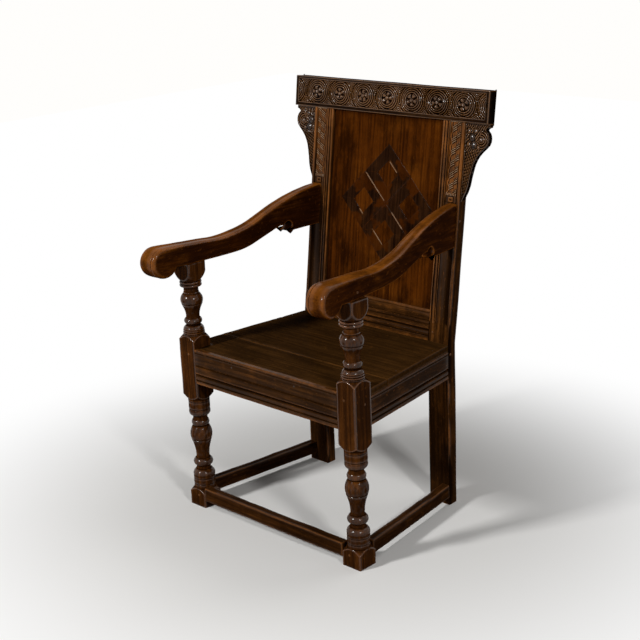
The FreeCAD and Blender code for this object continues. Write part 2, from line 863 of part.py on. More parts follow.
for place in range(rosette_count):
    x = (place - (rosette_count - 1) / 2) * rosette_pitch
    crest = crest.fuse(disc(x, rosette_radius, crest_field_depth / 2, rosette_sides))
    crest = crest.fuse(disc(x, rosette_boss_radius, crest_field_depth, peg_sides))
crest = crest.cut(box(
    -panel_half - fit_gap, groove_front - fit_gap, back_top - overrun,
    panel_half + fit_gap, groove_back + fit_gap, panel_high + fit_gap,
))
crest = raked(crest)
for mortise in (crest_tenon(fit_gap, tenon_end_gap), crest_peg(peg_hole_diameter, overrun)):
    crest = crest.cut(mortise).cut(mirrored(mortise))
nodes["crest_rail"] = crest


# Ear brackets: scrolled consoles beside the stiles, hung under the crest's ends.
ear_shares = {
    "shelf": (1.00, 0.040), "cusp": (0.78, 0.075), "neck": (0.86, 0.105),
    "lobe": (1.00, 0.200), "waist": (0.74, 0.350), "hollow": (0.26, 0.505),
    "tail": (0.09, 0.690), "tip": (0.03, 1.000),
}


def ear_place(name):
    out, down = ear_shares[name]
    return vec(half_rear + ear_width * out, rear_y, back_top - ear_height * down)


ear_top = vec(half_rear + ear_width, rear_y, back_top)
ear_root = vec(half_rear, rear_y, back_top)
ear_foot = vec(half_rear, rear_y, back_top - ear_height)
ear_edges = [
    Part.LineSegment(ear_root, ear_top).toShape(),
    Part.LineSegment(ear_top, ear_place("shelf")).toShape(),
    Part.Arc(ear_place("shelf"), ear_place("cusp"), ear_place("neck")).toShape(),
    Part.Arc(ear_place("neck"), ear_place("lobe"), ear_place("waist")).toShape(),
    Part.Arc(ear_place("waist"), ear_place("hollow"), ear_place("tail")).toShape(),
    Part.LineSegment(ear_place("tail"), ear_place("tip")).toShape(),
    Part.LineSegment(ear_place("tip"), ear_foot).toShape(),
    Part.LineSegment(ear_foot, ear_root).toShape(),
]
right_ear = Part.Face(Part.Wire(ear_edges)).extrude(vec(0, ear_thickness, 0))
ear_nail_drops = (ear_height * 0.45, ear_height * 0.62)


def ear_nail(drop, slack, above):
    # Nail through the thin of the bracket into the stile's outer edge.
    one = forged_nail(slack, above)
    one.rotate(vec(0, 0, 0), vec(0, 1, 0), 90)
    end = half_rear + ear_width * ear_nail_share(drop) + nail_head_height
    one.translate(vec(end, rear_y + ear_thickness / 2, back_top - drop))
    return one


def ear_nail_share(drop):
    # How far out the bracket's edge lies at the nail, as a share of its width.
    low_share = 0.12
    high_share = 0.36
    return high_share if drop < ear_height / 2 else low_share


for drop in ear_nail_drops:
    hole = ear_nail(drop, fit_gap / 2, ear_width)
    right_ear = right_ear.cut(hole)
    right_stile = right_stile.cut(raked(ear_nail(drop, fit_gap / 2, 0)))
right_ear = raked(right_ear)
keep_pair("ear_bracket", right_ear)
keep_pair("back_stile", right_stile)
ear_nails = [raked(ear_nail(drop, 0, 0)) for drop in ear_nail_drops]
nodes["ear_nails"] = compound(ear_nails + [mirrored(one) for one in ear_nails])


# Arms: swept boards, tapering in plan from the knob to the stile.
# The side outline runs in (distance behind the post's face, height above the post).
arm_run = frame_depth + (arm_seat_height - seat_height) * math.tan(rake)


def arm_place(run_share, rise_share):
    return vec(0, front_y + arm_run * run_share, arm_seat_height + arm_rear_rise * rise_share)


knob_under_degrees = -25.0
notch_degrees = (-80.0, 35.0, 155.0)
arm_top_shares = (
    (0.00, 0.425), (0.13, 0.385), (0.262, 0.360), (0.40, 0.412), (0.50, 0.495), (0.60, 0.632),
    (0.707, 0.775), (0.83, 0.897), (0.95, 0.972), (1.08, 1.010),
)
arm_under_shares = (
    (0.690, 0.300), (0.621, 0.225), (0.543, 0.138), (0.464, 0.058), (0.388, 0.017), (0.276, 0.000),
)
notch_shares = (0.762, 0.2625)
arm_tail_share = 0.165


def smooth(points, start_tangent, end_tangent):
    # A drawknife leaves a sweep as long narrow flats, so the curve is cut in spans.
    curve = Part.BSplineCurve()
    curve.interpolate(Points=points, InitialTangent=start_tangent, FinalTangent=end_tangent)
    ends_count = arm_flat_count + 1
    return curve.toShape().discretize(Number=ends_count)


def arm_width(y):
    return arm_rear_width + (arm_front_width - arm_rear_width) * (rear_y - y) / frame_depth


def arm_outline():
    # Side outline from below the knob, over it and back: upper points, then lower points.
    knob = vec(0, front_y - knob_reach, arm_seat_height + knob_centre_rise)
    top_of_knob = knob + vec(0, 0, knob_radius)
    under_angle = math.radians(knob_under_degrees)
    knob_end = knob + vec(0, knob_radius * math.cos(under_angle), knob_radius * math.sin(under_angle))
    front_of_knob = knob + vec(0, -knob_radius, 0)
    notch = arm_place(*notch_shares)

    def on_notch(degrees):
        turn = math.radians(degrees)
        return notch + vec(0, notch_radius * math.cos(turn), notch_radius * math.sin(turn))

    top = [top_of_knob] + [arm_place(*pair) for pair in arm_top_shares]
    under = [on_notch(notch_degrees[2])] + [arm_place(*pair) for pair in arm_under_shares]
    tail = vec(0, top[-1].y, arm_seat_height + arm_rear_rise * arm_tail_share)
    fall = vec(0, top[-1].y - top[-2].y, top[-1].z - top[-2].z)
    start_down = vec(0, under[1].y - under[0].y, under[1].z - under[0].z)
    upper = [knob_end] + bowed(knob_end, front_of_knob, top_of_knob, knob_flat_count)
    upper += smooth(top, vec(0, 1, 0), fall)[1:]
    lower = [tail, on_notch(notch_degrees[0])]
    lower += bowed(*[on_notch(turn) for turn in notch_degrees], notch_flat_count)
    lower += smooth(under, start_down, vec(0, -1, 0))[1:]
    lower.append(vec(0, front_y, arm_seat_height))
    return upper, lower


def arm_wire(upper, lower, hand, in_share, down_share):
    # The outline at one step of the rounding: in from that side face, and down from the upper edge.
    sunk = [upper[0]]
    ends = upper[2:] + [upper[-1] + upper[-1] - upper[-2]]
    for before, here, after in zip(upper, upper[1:], ends):
        run = after - before
        inward = vec(0, run.z, -run.y).normalize()
        sunk.append(here + inward * arm_round * down_share)
    placed = []
    for point in sunk + lower:
        middle = arm_outer_x(point.y) - arm_width(point.y) / 2
        half = arm_width(point.y) / 2 - arm_round * in_share
        placed.append(vec(middle + hand * half, point.y, point.z))
    return Part.makePolygon(placed + [placed[0]])


# Steps of the rounding, from a side face up to the upper edge, as shares of its radius.
arm_round_shares = ((0.0, 1.0), (0.3, 0.3), (1.0, 0.0))
upper_outline, lower_outline = arm_outline()
arm_wires = [arm_wire(upper_outline, lower_outline, 1, *row) for row in arm_round_shares]
arm_wires += [arm_wire(upper_outline, lower_outline, -1, *row) for row in reversed(arm_round_shares)]
right_arm = Part.makeLoft(arm_wires, True, True)
behind_face = raked(box(
    0, rear_y, seat_height - block_size, front_width, rear_y + frame_depth, seat_height + back_rise
))
right_arm = right_arm.cut(behind_face)
pin_hole = Part.makeCylinder(
    post_pin_diameter / 2 + fit_gap, post_pin_length + tenon_end_gap + overrun,
    vec(post_x, post_y, arm_seat_height - overrun),
)
right_arm = right_arm.cut(pin_hole)
arm_tenon_solid = arm_tenon(0, 0).common(raked(box(
    0, rear_y, seat_height, front_width, rear_y + stile_depth, seat_height + back_rise
)))
right_arm = right_arm.fuse(arm_tenon_solid)
right_arm = right_arm.cut(arm_tenon_peg(peg_hole_diameter, overrun))
right_arm = right_arm.cut(arm_pin_peg(peg_hole_diameter, overrun))
keep_pair("arm", right_arm)


# Pegs, grouped by the joints that they hold.
def both_sides(pegs):
    return compound(list(pegs) + [mirrored(one) for one in pegs])


nodes["front_post_pegs"] = both_sides(post_pegs(peg_diameter, peg_proud))
nodes["stretcher_pegs"] = both_sides(stretcher_pegs(peg_diameter, peg_proud))
nodes["side_rail_pegs"] = both_sides([stile_side_peg(peg_diameter, peg_proud)])
nodes["rear_rail_pegs"] = both_sides([rear_rail_peg(peg_diameter, peg_proud)])
nodes["lower_back_rail_pegs"] = both_sides(lower_rail_pegs(peg_diameter, peg_proud))
nodes["crest_pegs"] = both_sides([crest_peg(peg_diameter, peg_proud)])
nodes["arm_pegs"] = both_sides([
    arm_pin_peg(peg_diameter, peg_proud),
    arm_tenon_peg(peg_diameter, peg_proud),
])


os.makedirs("parts", exist_ok=True)
for name, shape in nodes.items():
    shape.exportStep("parts/" + name + ".step")
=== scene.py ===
import math

import bmesh
import bpy
import numpy as np
from mathutils import Matrix, Vector, noise


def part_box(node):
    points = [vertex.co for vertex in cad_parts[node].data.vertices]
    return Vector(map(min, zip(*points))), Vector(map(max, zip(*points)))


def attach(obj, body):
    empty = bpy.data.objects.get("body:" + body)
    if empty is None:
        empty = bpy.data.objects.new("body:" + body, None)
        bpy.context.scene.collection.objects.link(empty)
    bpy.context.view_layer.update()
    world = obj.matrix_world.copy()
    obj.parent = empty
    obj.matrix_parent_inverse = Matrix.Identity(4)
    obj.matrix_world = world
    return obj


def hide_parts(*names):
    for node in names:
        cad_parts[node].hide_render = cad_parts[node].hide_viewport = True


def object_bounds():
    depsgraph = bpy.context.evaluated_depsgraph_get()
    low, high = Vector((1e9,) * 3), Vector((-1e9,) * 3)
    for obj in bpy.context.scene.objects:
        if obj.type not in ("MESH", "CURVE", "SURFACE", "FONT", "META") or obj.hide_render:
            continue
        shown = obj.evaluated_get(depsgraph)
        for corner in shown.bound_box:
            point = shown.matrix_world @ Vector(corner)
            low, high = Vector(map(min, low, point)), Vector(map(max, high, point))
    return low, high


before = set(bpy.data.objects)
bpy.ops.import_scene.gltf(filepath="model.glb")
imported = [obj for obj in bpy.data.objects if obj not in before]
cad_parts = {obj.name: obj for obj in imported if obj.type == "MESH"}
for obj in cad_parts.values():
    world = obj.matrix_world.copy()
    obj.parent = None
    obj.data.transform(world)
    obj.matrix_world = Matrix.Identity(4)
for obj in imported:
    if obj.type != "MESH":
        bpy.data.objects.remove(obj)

cad_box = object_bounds()

# The two front posts. Each is one oak billet from the floor to the arm, left square at the
# foot, the seat and the arm, and turned between on a pole lathe, so the squares end in
# arched shoulders. The tenons of rails and stretchers enter the square blocks.

mm = 0.001
hands = (("right", 1), ("left", -1))
front_half = 285 * mm
block_half = 27 * mm
foot_top = 46 * mm
seat_block_low = 286 * mm
seat_block_high = 450 * mm
collar_low = 571 * mm
collar_high = 589 * mm
arm_under = 632 * mm
shoulder = 13 * mm
arch = 30 * mm
turned_radius = 26.8 * mm
block_corner = 39.8 * mm
arris_softness = 0.9 * mm
lathe_steps = 128
square_power = 30
post_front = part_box("front_seat_rail")[0].y
post_centre = (front_half - block_half, post_front + block_half)
leg_shares = (
    (0.000, 0.99), (0.040, 0.99), (0.046, 0.95), (0.052, 0.99),
    (0.104, 0.99), (0.110, 0.95), (0.116, 0.99), (0.140, 0.99),
    (0.188, 0.92, 0.208, 0.66), (0.246, 0.65),
    (0.289, 0.91, 0.333, 0.63), (0.352, 0.61),
    (0.430, 0.66, 0.500, 0.82), (0.538, 0.93), (0.543, 0.90), (0.548, 0.945),
    (0.620, 1.01, 0.690, 0.78), (0.697, 0.72),
    (0.725, 0.83, 0.760, 0.72), (0.768, 0.67), (0.804, 0.67),
    (0.832, 0.97, 0.862, 0.985), (0.877, 0.97), (0.882, 0.93), (0.888, 0.99),
    (0.962, 0.99), (0.967, 0.95), (0.972, 0.99), (1.000, 0.99),
)
support_shares = (
    (0.000, 0.99), (0.020, 0.99), (0.030, 0.91), (0.040, 0.99), (0.062, 0.99), (0.072, 0.90), (0.084, 0.97),
    (0.108, 0.96), (0.116, 0.89), (0.124, 0.94), (0.160, 0.87, 0.195, 0.66), (0.223, 0.65),
    (0.277, 0.82, 0.347, 0.65), (0.372, 0.61), (0.400, 0.61),
    (0.500, 0.69, 0.600, 0.88), (0.640, 0.95), (0.648, 0.92), (0.656, 0.965),
    (0.752, 1.01, 0.851, 0.76), (0.860, 0.71), (0.876, 0.73), (0.890, 0.67), (0.990, 0.67),
    (1.000, 0.88),
)


class Value:
    """A socket that takes part in arithmetic: each operation adds its Math node."""

    def __init__(self, finish, socket):
        self.finish = finish
        self.socket = socket

    def maths(self, operation, *inputs):
        node = self.finish.add("ShaderNodeMath", {"operation": operation}, dict(enumerate(inputs)))
        return Value(self.finish, node.outputs[0])

    def __add__(self, other):
        return self.maths("ADD", self, other)

    def __sub__(self, other):
        return self.maths("SUBTRACT", self, other)

    def __mul__(self, other):
        return self.maths("MULTIPLY", self, other)

    __radd__ = __add__
    __rmul__ = __mul__

    def between(self, low, high):
        """0 below low, 1 above high, eased between; the other way round if low is above high."""
        node = self.finish.add(
            "ShaderNodeMapRange", {"interpolation_type": "SMOOTHSTEP"},
            {"Value": self, "From Min": low, "From Max": high},
        )
        return Value(self.finish, node.outputs["Result"])


class Finish:
    """A material, or the surround, in the making."""

    def __init__(self, owner, shader="Principled BSDF"):
        owner.use_nodes = True
        self.owner = owner
        self.tree = owner.node_tree
        self.shader = self.tree.nodes[shader]

    def feed(self, socket, value):
        value = getattr(value, "socket", value)
        if isinstance(value, bpy.types.NodeSocket):
            self.tree.links.new(value, socket)
        else:
            socket.default_value = (*value, 1.0) if socket.type == "RGBA" else value

    def add(self, kind, settings, inputs):
        node = self.tree.nodes.new(kind)
        for name, value in settings.items():
            setattr(node, name, value)
        for name, value in inputs.items():
            self.feed(node.inputs[name], value)
        return node

    def attribute(self, name, output="Fac"):
        node = self.add("ShaderNodeAttribute", {"attribute_name": name}, {})
        return Value(self, node.outputs[output])

    def stretched(self, vector, scale):
        node = self.add("ShaderNodeVectorMath", {"operation": "MULTIPLY"}, {0: vector, 1: scale})
        return Value(self, node.outputs["Vector"])

    def mottle(self, vector, scale, detail, roughness):
        node = self.add("ShaderNodeTexNoise", {}, {
            "Vector": vector, "Scale": scale, "Detail": detail, "Roughness": roughness,
        })
        return Value(self, node.outputs["Fac"])

    def blend(self, share, first, second):
        node = self.add("ShaderNodeMix", {"data_type": "RGBA"}, {"Factor": share, 6: first, 7: second})
        return Value(self, node.outputs[2])

    def bump(self, height, distance, strength, onto=None):
        inputs = {"Height": height, "Distance": distance, "Strength": strength}
        if onto is not None:
            inputs["Normal"] = onto
        return Value(self, self.add("ShaderNodeBump", {}, inputs).outputs["Normal"])


def oak(name, deep, body, worn_and_lit, gloss=0.34, wear=1.0, rings=0.5, stains=0.4, patchy=0.5,
        coat=0.3, faded=None, rims=None):
    """Old waxed oak. The grain runs along the third of the piece's own board coordinates."""
    finish = Finish(bpy.data.materials.new(name))
    board = finish.attribute("board", "Vector")
    wear_and_highlight = finish.attribute("worn_and_lit")
    hollow = finish.attribute("hollow")
    rounded = finish.attribute("rounded").between(0.08, 0.28)

    def grained(lengthways, scale, detail, roughness, across=1.0):
        """Noise drawn out along the grain."""
        return finish.mottle(finish.stretched(board, (1.0, across, lengthways)), scale, detail, roughness)

    # Broad patches of darker and redder polish, then the streaks of the grain.
    patches = finish.mottle(board, 9.0, 3.0, 0.55).between(0.32, 0.68)
    drift = grained(0.12, 26.0, 2.0, 0.5)
    warped = finish.add("ShaderNodeVectorMath", {"operation": "MULTIPLY_ADD"}, {
        0: (0.02, 0.02, 0.0), 1: drift, 2: finish.stretched(board, (1.0, 1.0, 0.035)),
    }).outputs["Vector"]
    streaks = finish.mottle(warped, 130.0, 4.0, 0.6)
    fibres = grained(0.03, 900.0, 2.0, 0.6)
    pores = grained(0.045, 1500.0, 1.0, 0.5).between(0.60, 0.72)
    flecks = grained(0.22, 420.0, 1.0, 0.4, across=0.35).between(0.66, 0.74)
    ring_lines = finish.add("ShaderNodeTexWave", {"bands_direction": "X"}, {
        "Vector": warped, "Scale": 28.0, "Distortion": 5.0, "Detail": 2.0, "Detail Scale": 1.5,
    })
    ring_lines = Value(finish, ring_lines.outputs["Fac"])

    tone = streaks.between(0.30, 0.72) * 0.60 + ring_lines * (0.25 * rings) + patches * 0.30
    colour = finish.blend(tone.between(0.05, 1.0), deep, body)
    if faded:
        pale = finish.mottle(board, 21.0, 2.0, 0.5).between(0.50, 0.58)
        colour = finish.blend(pale * 0.8, colour, faded)
    # Old spills and soot lie in blotches, and redder wood shows between them.
    warm = finish.mottle(board, 11.0, 3.0, 0.6).between(0.50, 0.72)
    colour = finish.blend(warm * streaks.between(0.35, 0.6) * (0.35 * stains + 0.1), colour, worn_and_lit)
    stain = grained(0.55, 15.0, 4.0, 0.62).between(0.47, 0.68)
    colour = finish.blend(stain * (0.85 * stains), colour, [0.55 * part for part in deep])
    # Worn arrises and rubbed faces take the worn colour. The same mark carries painted light: the arms' upper
    # faces, the crowns of the stiles' beads and carved ridges, and a few inlay rims are painted brighter.
    rub = finish.mottle(board, 85.0, 3.0, 0.7)
    kept = finish.mottle(board, 17.0, 3.0, 0.55).between(0.40, 0.60)
    everywhere = wear * (1 - patchy)
    rubbed_and_lit = (wear_and_highlight * (0.55 + rub * 1.1)).between(0.28, 0.95) * (everywhere + kept * (wear * patchy))
    colour = finish.blend(rubbed_and_lit, colour, worn_and_lit)
    # Past 1.6 the mark holds painted highlight only: the stiles' bead crowns and carved ridges and a few
    # inlay rims are painted pale in the rims colour.
    if rims:
        colour = finish.blend(wear_and_highlight.between(1.6, 1.95) * (0.65 + kept * 0.35), colour, rims)
    bright = patches * streaks.between(0.5, 0.75) * 0.22
    colour = finish.blend(bright, colour, worn_and_lit)
    colour = finish.blend(flecks * 0.22, colour, worn_and_lit)
    dark = [0.35 * part for part in deep]
    colour = finish.blend(pores * 0.55, colour, dark)
    # Hollows take dirt and wax. The same mark carries a piece's own dark marks, the seat's joints and the
    # panel's border by its frame, and painted shade on the arms' side and lower faces and on the carvings'
    # walls, top and ends and partly in their depths.
    dirt_and_shade = (hollow * (0.8 + rub * 0.5)).between(0.05, 0.85) * 0.92
    colour = finish.blend(dirt_and_shade, colour, dark)

    roughness = gloss + fibres * 0.10 + patches * 0.06 + dirt_and_shade * 0.28 - rubbed_and_lit * 0.05
    waviness = finish.mottle(board, 55.0, 2.0, 0.5)
    normal = finish.bump(waviness, 0.0012, 0.35)
    grooves = fibres * 0.5 - pores * 1.1 + streaks * 0.6
    normal = finish.bump(grooves, 0.00035, 0.6, normal)
    finish.feed(finish.shader.inputs["Base Color"], colour)
    finish.feed(finish.shader.inputs["Roughness"], roughness)
    finish.feed(finish.shader.inputs["Normal"], normal)
    # The wood itself has no shine. Rounded forms are burnished, and flat faces keep only a
    # trace of that coat of wax.
    shine = (rounded * 0.96 + 0.04) * coat
    finish.feed(finish.shader.inputs["Coat Weight"], shine - dirt_and_shade * shine)
    finish.shader.inputs["Coat Roughness"].default_value = 0.17
    finish.shader.inputs["Coat IOR"].default_value = 1.36
    finish.shader.inputs["Specular IOR Level"].default_value = 0.0
    return finish.owner


def vectors_in(items, name):
    """One vector of every item, as the rows of an array."""
    values = np.empty(len(items) * 3)
    items.foreach_get(name, values)
    return values.reshape(-1, 3)


def curve_marks(mesh, handled):
    """Marks how far every vertex stands out, up to 2 where a piece adds its own polish and painted
    highlights; how far it lies in a hollow, with a piece's own dark marks and painted shade added; and how
    rounded it is.
    """
    count = len(mesh.vertices)
    places = vectors_in(mesh.vertices, "co")
    normals = vectors_in(mesh.vertex_normals, "vector")
    ends = np.empty(len(mesh.edges) * 2, dtype=np.int64)
    mesh.edges.foreach_get("vertices", ends)
    a, b = ends.reshape(-1, 2).T
    step = places[b] - places[a]
    length = np.maximum(np.linalg.norm(step, axis=1), 0.2 * mm)
    weight = 1 / length

    def gathered(for_a, for_b):
        """Adds up at every vertex what its edges bring to it."""
        return np.bincount(a, for_a * weight, count) + np.bincount(b, for_b * weight, count)

    total = np.maximum(gathered(1, 1), 1e-9)
    bend_a = -(normals[a] * step).sum(axis=1) / length
    bend_b = (normals[b] * step).sum(axis=1) / length
    bend = gathered(bend_a, bend_b) / total
    # A bend is compared over about a millimetre and a half, whatever the mesh's own spacing.
    reach = gathered(length, length) / total
    bend = bend * np.minimum(1.5 * mm / reach, 3.0)
    for _ in range(2):
        bend = 0.5 * bend + 0.5 * gathered(bend[b], bend[a]) / total
    polish_and_highlight, soot_and_shade = handled(places, normals) if handled else (0, 0)
    for name, marks, most in (
        ("worn_and_lit", np.clip(bend * 6.0, -1, 1) + polish_and_highlight, 2), ("hollow", -bend * 7.0 + soot_and_shade, 1),
        ("rounded", bend * 7.0 - 4 * soot_and_shade, 1),
    ):
        layer = mesh.attributes.new(name, "FLOAT", "POINT")
        layer.data.foreach_set("value", np.clip(marks, 0, most))


def board_marks(mesh, grain, seed):
    """Keeps each vertex's place on its own board, with the grain along the third coordinate."""
    order = {"x": (2, 1, 0), "y": (0, 2, 1), "z": (0, 1, 2)}[grain]
    places = vectors_in(mesh.vertices, "co")[:, order] + np.array((0.37, 0.61, 0.83)) * seed
    layer = mesh.attributes.new("board", "FLOAT_VECTOR", "POINT")
    layer.data.foreach_set("vector", places.ravel())


def upright(co):
    """Leaves a piece where its own coordinates put it."""
    return co


def finish_piece(
    bm, name, material, nodes, seed, grain="z", place=upright, crease=38.0, handled=None, closed=True,
):
    """Turns a bmesh in board coordinates into a piece of the chair, put in place by a function.

    A piece with an open carved sheet isn't closed, and keeps the directions of its own faces.
    """
    if closed:
        bmesh.ops.recalc_face_normals(bm, faces=bm.faces[:])
    for face in bm.faces:
        face.smooth = True
    for edge in bm.edges:
        edge.smooth = edge.calc_face_angle(0.0) < math.radians(crease)
    mesh = bpy.data.meshes.new(name)
    bm.to_mesh(mesh)
    bm.free()
    curve_marks(mesh, handled)
    board_marks(mesh, grain, seed)
    for vertex in mesh.vertices:
        # A piece's unevenness never takes it past the chair's own outer sizes.
        vertex.co = [min(max(value, low), high) for value, low, high in zip(place(vertex.co), *cad_box)]
    if place(Vector((1, 0, 0))).x < place(Vector((0, 0, 0))).x:
        mesh.flip_normals()
    mesh.materials.append(material)
    piece = bpy.data.objects.new(name, mesh)
    bpy.context.scene.collection.objects.link(piece)
    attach(piece, "root")
    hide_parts(*nodes)
    return piece


def uneven(bm, amount, scale, seed):
    """Moves the surface in and out a little, as hand tools and wear leave it."""
    bm.normal_update()
    drift = Vector((seed * 3.1, seed * 1.7, seed * 2.3))
    for vertex in bm.verts:
        vertex.co += vertex.normal * (noise.noise(vertex.co * scale + drift) * amount)


def bowed(start, through, end, steps):
    """Points on the arc through three points of a profile, without its start."""
    (ax, ay), (bx, by), (cx, cy) = start, through, end
    d = 2 * (ax * (by - cy) + bx * (cy - ay) + cx * (ay - by))
    a2, b2, c2 = ax * ax + ay * ay, bx * bx + by * by, cx * cx + cy * cy
    centre = Vector((
        (a2 * (by - cy) + b2 * (cy - ay) + c2 * (ay - by)) / d,
        (a2 * (cx - bx) + b2 * (ax - cx) + c2 * (bx - ax)) / d,
    ))
    first = Vector(start) - centre
    sweep = first.angle_signed(Vector(through) - centre) + (
        (Vector(through) - centre).angle_signed(Vector(end) - centre)
    )
    return [
        centre + Matrix.Rotation(-sweep * k / steps, 2) @ first
        for k in range(1, steps + 1)
    ]


def turned_points(rows, low, high, start):
    """(radius, height) points of a turned stretch; a row of four bows through its first pair."""
    points = []
    here = start
    for row in rows:
        pairs = [(turned_radius * row[k + 1], low + (high - low) * row[k]) for k in range(0, len(row), 2)]
        if len(pairs) == 2:
            points += bowed(here, pairs[0], pairs[1], 9)
        elif pairs[0] != tuple(here):
            length = (Vector(pairs[0]) - Vector(here)).length
            steps = max(1, round(length / (3 * mm)))
            points += [Vector(here).lerp(Vector(pairs[0]), k / steps) for k in range(1, steps + 1)]
        here = tuple(points[-1]) if points else here
    return points


def straight(start, end, spacing):
    """Evenly spaced points on the line between two points, without its start."""
    start, end = Vector(start), Vector(end)
    steps = max(1, round((end - start).length / spacing))
    return [start.lerp(end, k / steps) for k in range(1, steps + 1)]


def post_profile():
    """The post's (radius, height) outline from the floor to the arm, squares left at full width."""
    edge = turned_radius * leg_shares[0][1]
    line = [Vector((0, 0)), Vector((block_corner, 0))]
    line += straight(line[-1], (block_corner, foot_top - shoulder), 4 * mm)
    line += straight(line[-1], (edge, foot_top), 1 * mm)
    line += turned_points(leg_shares, foot_top, seat_block_low, tuple(line[-1]))
    line += straight(line[-1], (block_corner, seat_block_low + shoulder), 1 * mm)
    line += straight(line[-1], (block_corner, seat_block_high - shoulder), 5 * mm)
    line += straight(line[-1], (edge, seat_block_high), 1 * mm)
    line += turned_points(support_shares, seat_block_high, collar_low, tuple(line[-1]))
    for low, high in ((0.0, 0.42), (0.42, 0.80)):
        foot = collar_low + (collar_high - collar_low) * low
        head = collar_low + (collar_high - collar_low) * high
        line += bowed(
            (turned_radius * 0.90, foot), (turned_radius, (foot + head) / 2), (turned_radius * 0.90, head), 8,
        )
    line += straight(line[-1], (turned_radius, collar_high), 1 * mm)
    bow = (turned_radius + (block_corner - turned_radius) * 0.72, collar_high + arch / 2)
    line += bowed(tuple(line[-1]), bow, (block_corner, collar_high + arch), 24)
    line += straight(line[-1], (block_corner, arm_under), 4 * mm)
    return line + [Vector((0, arm_under))]


def post_mesh(seed):
    """The outline spun round, then cut back to the four sides of the square billet."""
    bm = bmesh.new()
    line = post_profile()
    verts = [bm.verts.new((point.x, 0, point.y)) for point in line]
    edges = [bm.edges.new(pair) for pair in zip(verts, verts[1:])]
    bmesh.ops.spin(
        bm, geom=verts + edges, cent=(0, 0, 0), axis=(0, 0, 1), dvec=(0, 0, 0),
        angle=2 * math.pi, steps=lathe_steps, use_merge=True, use_normal_flip=False,
        use_duplicate=False,
    )
    bmesh.ops.remove_doubles(bm, verts=bm.verts[:], dist=0.05 * mm)
    for vertex in bm.verts:
        radius = math.hypot(vertex.co.x, vertex.co.y)
        if radius < 1 * mm:
            continue
        c = abs(vertex.co.x) / radius
        s = abs(vertex.co.y) / radius
        allowed = block_half / (c ** square_power + s ** square_power) ** (1 / square_power)
        gap = radius - allowed
        kept = radius - 0.5 * (gap + math.sqrt(gap * gap + 0.16 * arris_softness ** 2))
        vertex.co.x *= kept / radius
        vertex.co.y *= kept / radius
    uneven(bm, 0.5 * mm, 22.0, seed)
    uneven(bm, 0.25 * mm, 120.0, seed + 5)
    return bm


oak_turned = oak(
    "turned oak", deep=(0.024, 0.0074, 0.0014), body=(0.068, 0.0215, 0.0040),
    worn_and_lit=(0.24, 0.078, 0.011), gloss=0.25, wear=0.42, coat=0.85,
)
for side, hand in hands:
    finish_piece(
        post_mesh(3.0 + hand), "turned_post_" + side, oak_turned,
        ["front_post_" + side], seed=2.0 + hand,
        place=lambda co, hand=hand: Vector((co.x + hand * post_centre[0], co.y + post_centre[1], co.z)),
    )

# The two back stiles. Each is cut from one thick plank, straight to the seat and leaning back
# above it. A scratch-stock has run beads up both edges of the leaning face, and a strip of
# leaf carving is sunk between the beads below the crest.

stile_width = 62 * mm
stile_depth = 29 * mm
stile_outer = 235.5 * mm
stile_inner = stile_outer - stile_width
seat_top = 420 * mm
back_length = 526 * mm
side_run = 391 * mm
stile_front = post_front + side_run
rake = math.radians(7.8)
lean = Matrix.Rotation(-rake, 3, "X")
knee = Vector((0, stile_front, seat_top))
moulding_start = seat_top + 50 * mm
strip_low = seat_top + 336 * mm
strip_high = seat_top + 524.5 * mm
strip_left = 20.4 * mm
strip_right = 52.8 * mm
strip_sink = 4.0 * mm
leaf_pitch = 27.0
leaf_foot = 17.0
stile_moulding = (
    (0.0, 1.0), (0.9, 0.15), (4.8, 0.0), (5.6, 1.4), (6.2, 1.2), (7.0, 0.5), (8.3, 0.1), (9.5, 0.0),
    (10.7, 0.1), (11.8, 0.5), (12.6, 1.3), (13.4, 2.4), (15.0, 2.5), (15.6, 1.5), (16.4, 0.5),
    (17.6, 0.1), (18.9, 0.5), (19.6, 1.3), (20.0, 0.9), (20.6, 0.5), (36.0, 0.3), (52.6, 0.5),
    (53.2, 2.2), (53.8, 1.4), (54.8, 0.5), (56.4, 0.1), (58.2, 0.0), (60.0, 0.3), (61.3, 0.9), (62.0, 2.0),
)


def net(low, high, soft, spacing):
    """Where lines divide one side of a board: close by its arrises, then evenly."""
    near = [soft * share for share in (0.3, 0.65, 1.0, 1.9, 3.4)]
    first, last = low + near[-1], high - near[-1]
    count = max(1, round((last - first) / spacing))
    middle = [first + (last - first) * k / count for k in range(1, count)]
    return [low + step for step in near] + middle + [high - step for step in reversed(near)]


def clamped(value):
    """The value, kept from 0 to 1."""
    return min(1.0, max(0.0, value))


def axis_step(axis, length):
    """A step of the given length along one axis."""
    return Vector([length if k == axis else 0.0 for k in range(3)])


def cut_across(bm, axis, place, faces):
    """Divides the given faces where they cross one place along an axis."""
    edges = dict.fromkeys(edge for face in faces for edge in face.edges)
    verts = dict.fromkeys(vertex for face in faces for vertex in face.verts)
    bmesh.ops.bisect_plane(
        bm, geom=[*verts, *edges, *faces], plane_co=axis_step(axis, place), plane_no=axis_step(axis, 1),
    )


def score(bm, axis, places):
    """Divides every face that crosses the given places along an axis."""
    for place in places:
        cut_across(bm, axis, place, bm.faces[:])


def run_section(bm, section, axis, low, high):
    """A closed section, drawn on the plane across an axis, drawn out along it and capped."""
    verts = [bm.verts.new(point) for point in section]
    edges = [bm.edges.new(pair) for pair in zip(verts, verts[1:] + verts[:1])]
    bmesh.ops.contextual_create(bm, geom=edges)
    drawn = bmesh.ops.extrude_face_region(bm, geom=bm.faces[:])["geom"]
    moved = [part for part in drawn if isinstance(part, bmesh.types.BMVert)]
    bmesh.ops.translate(bm, vec=axis_step(axis, high - low), verts=moved)
    bmesh.ops.recalc_face_normals(bm, faces=bm.faces[:])


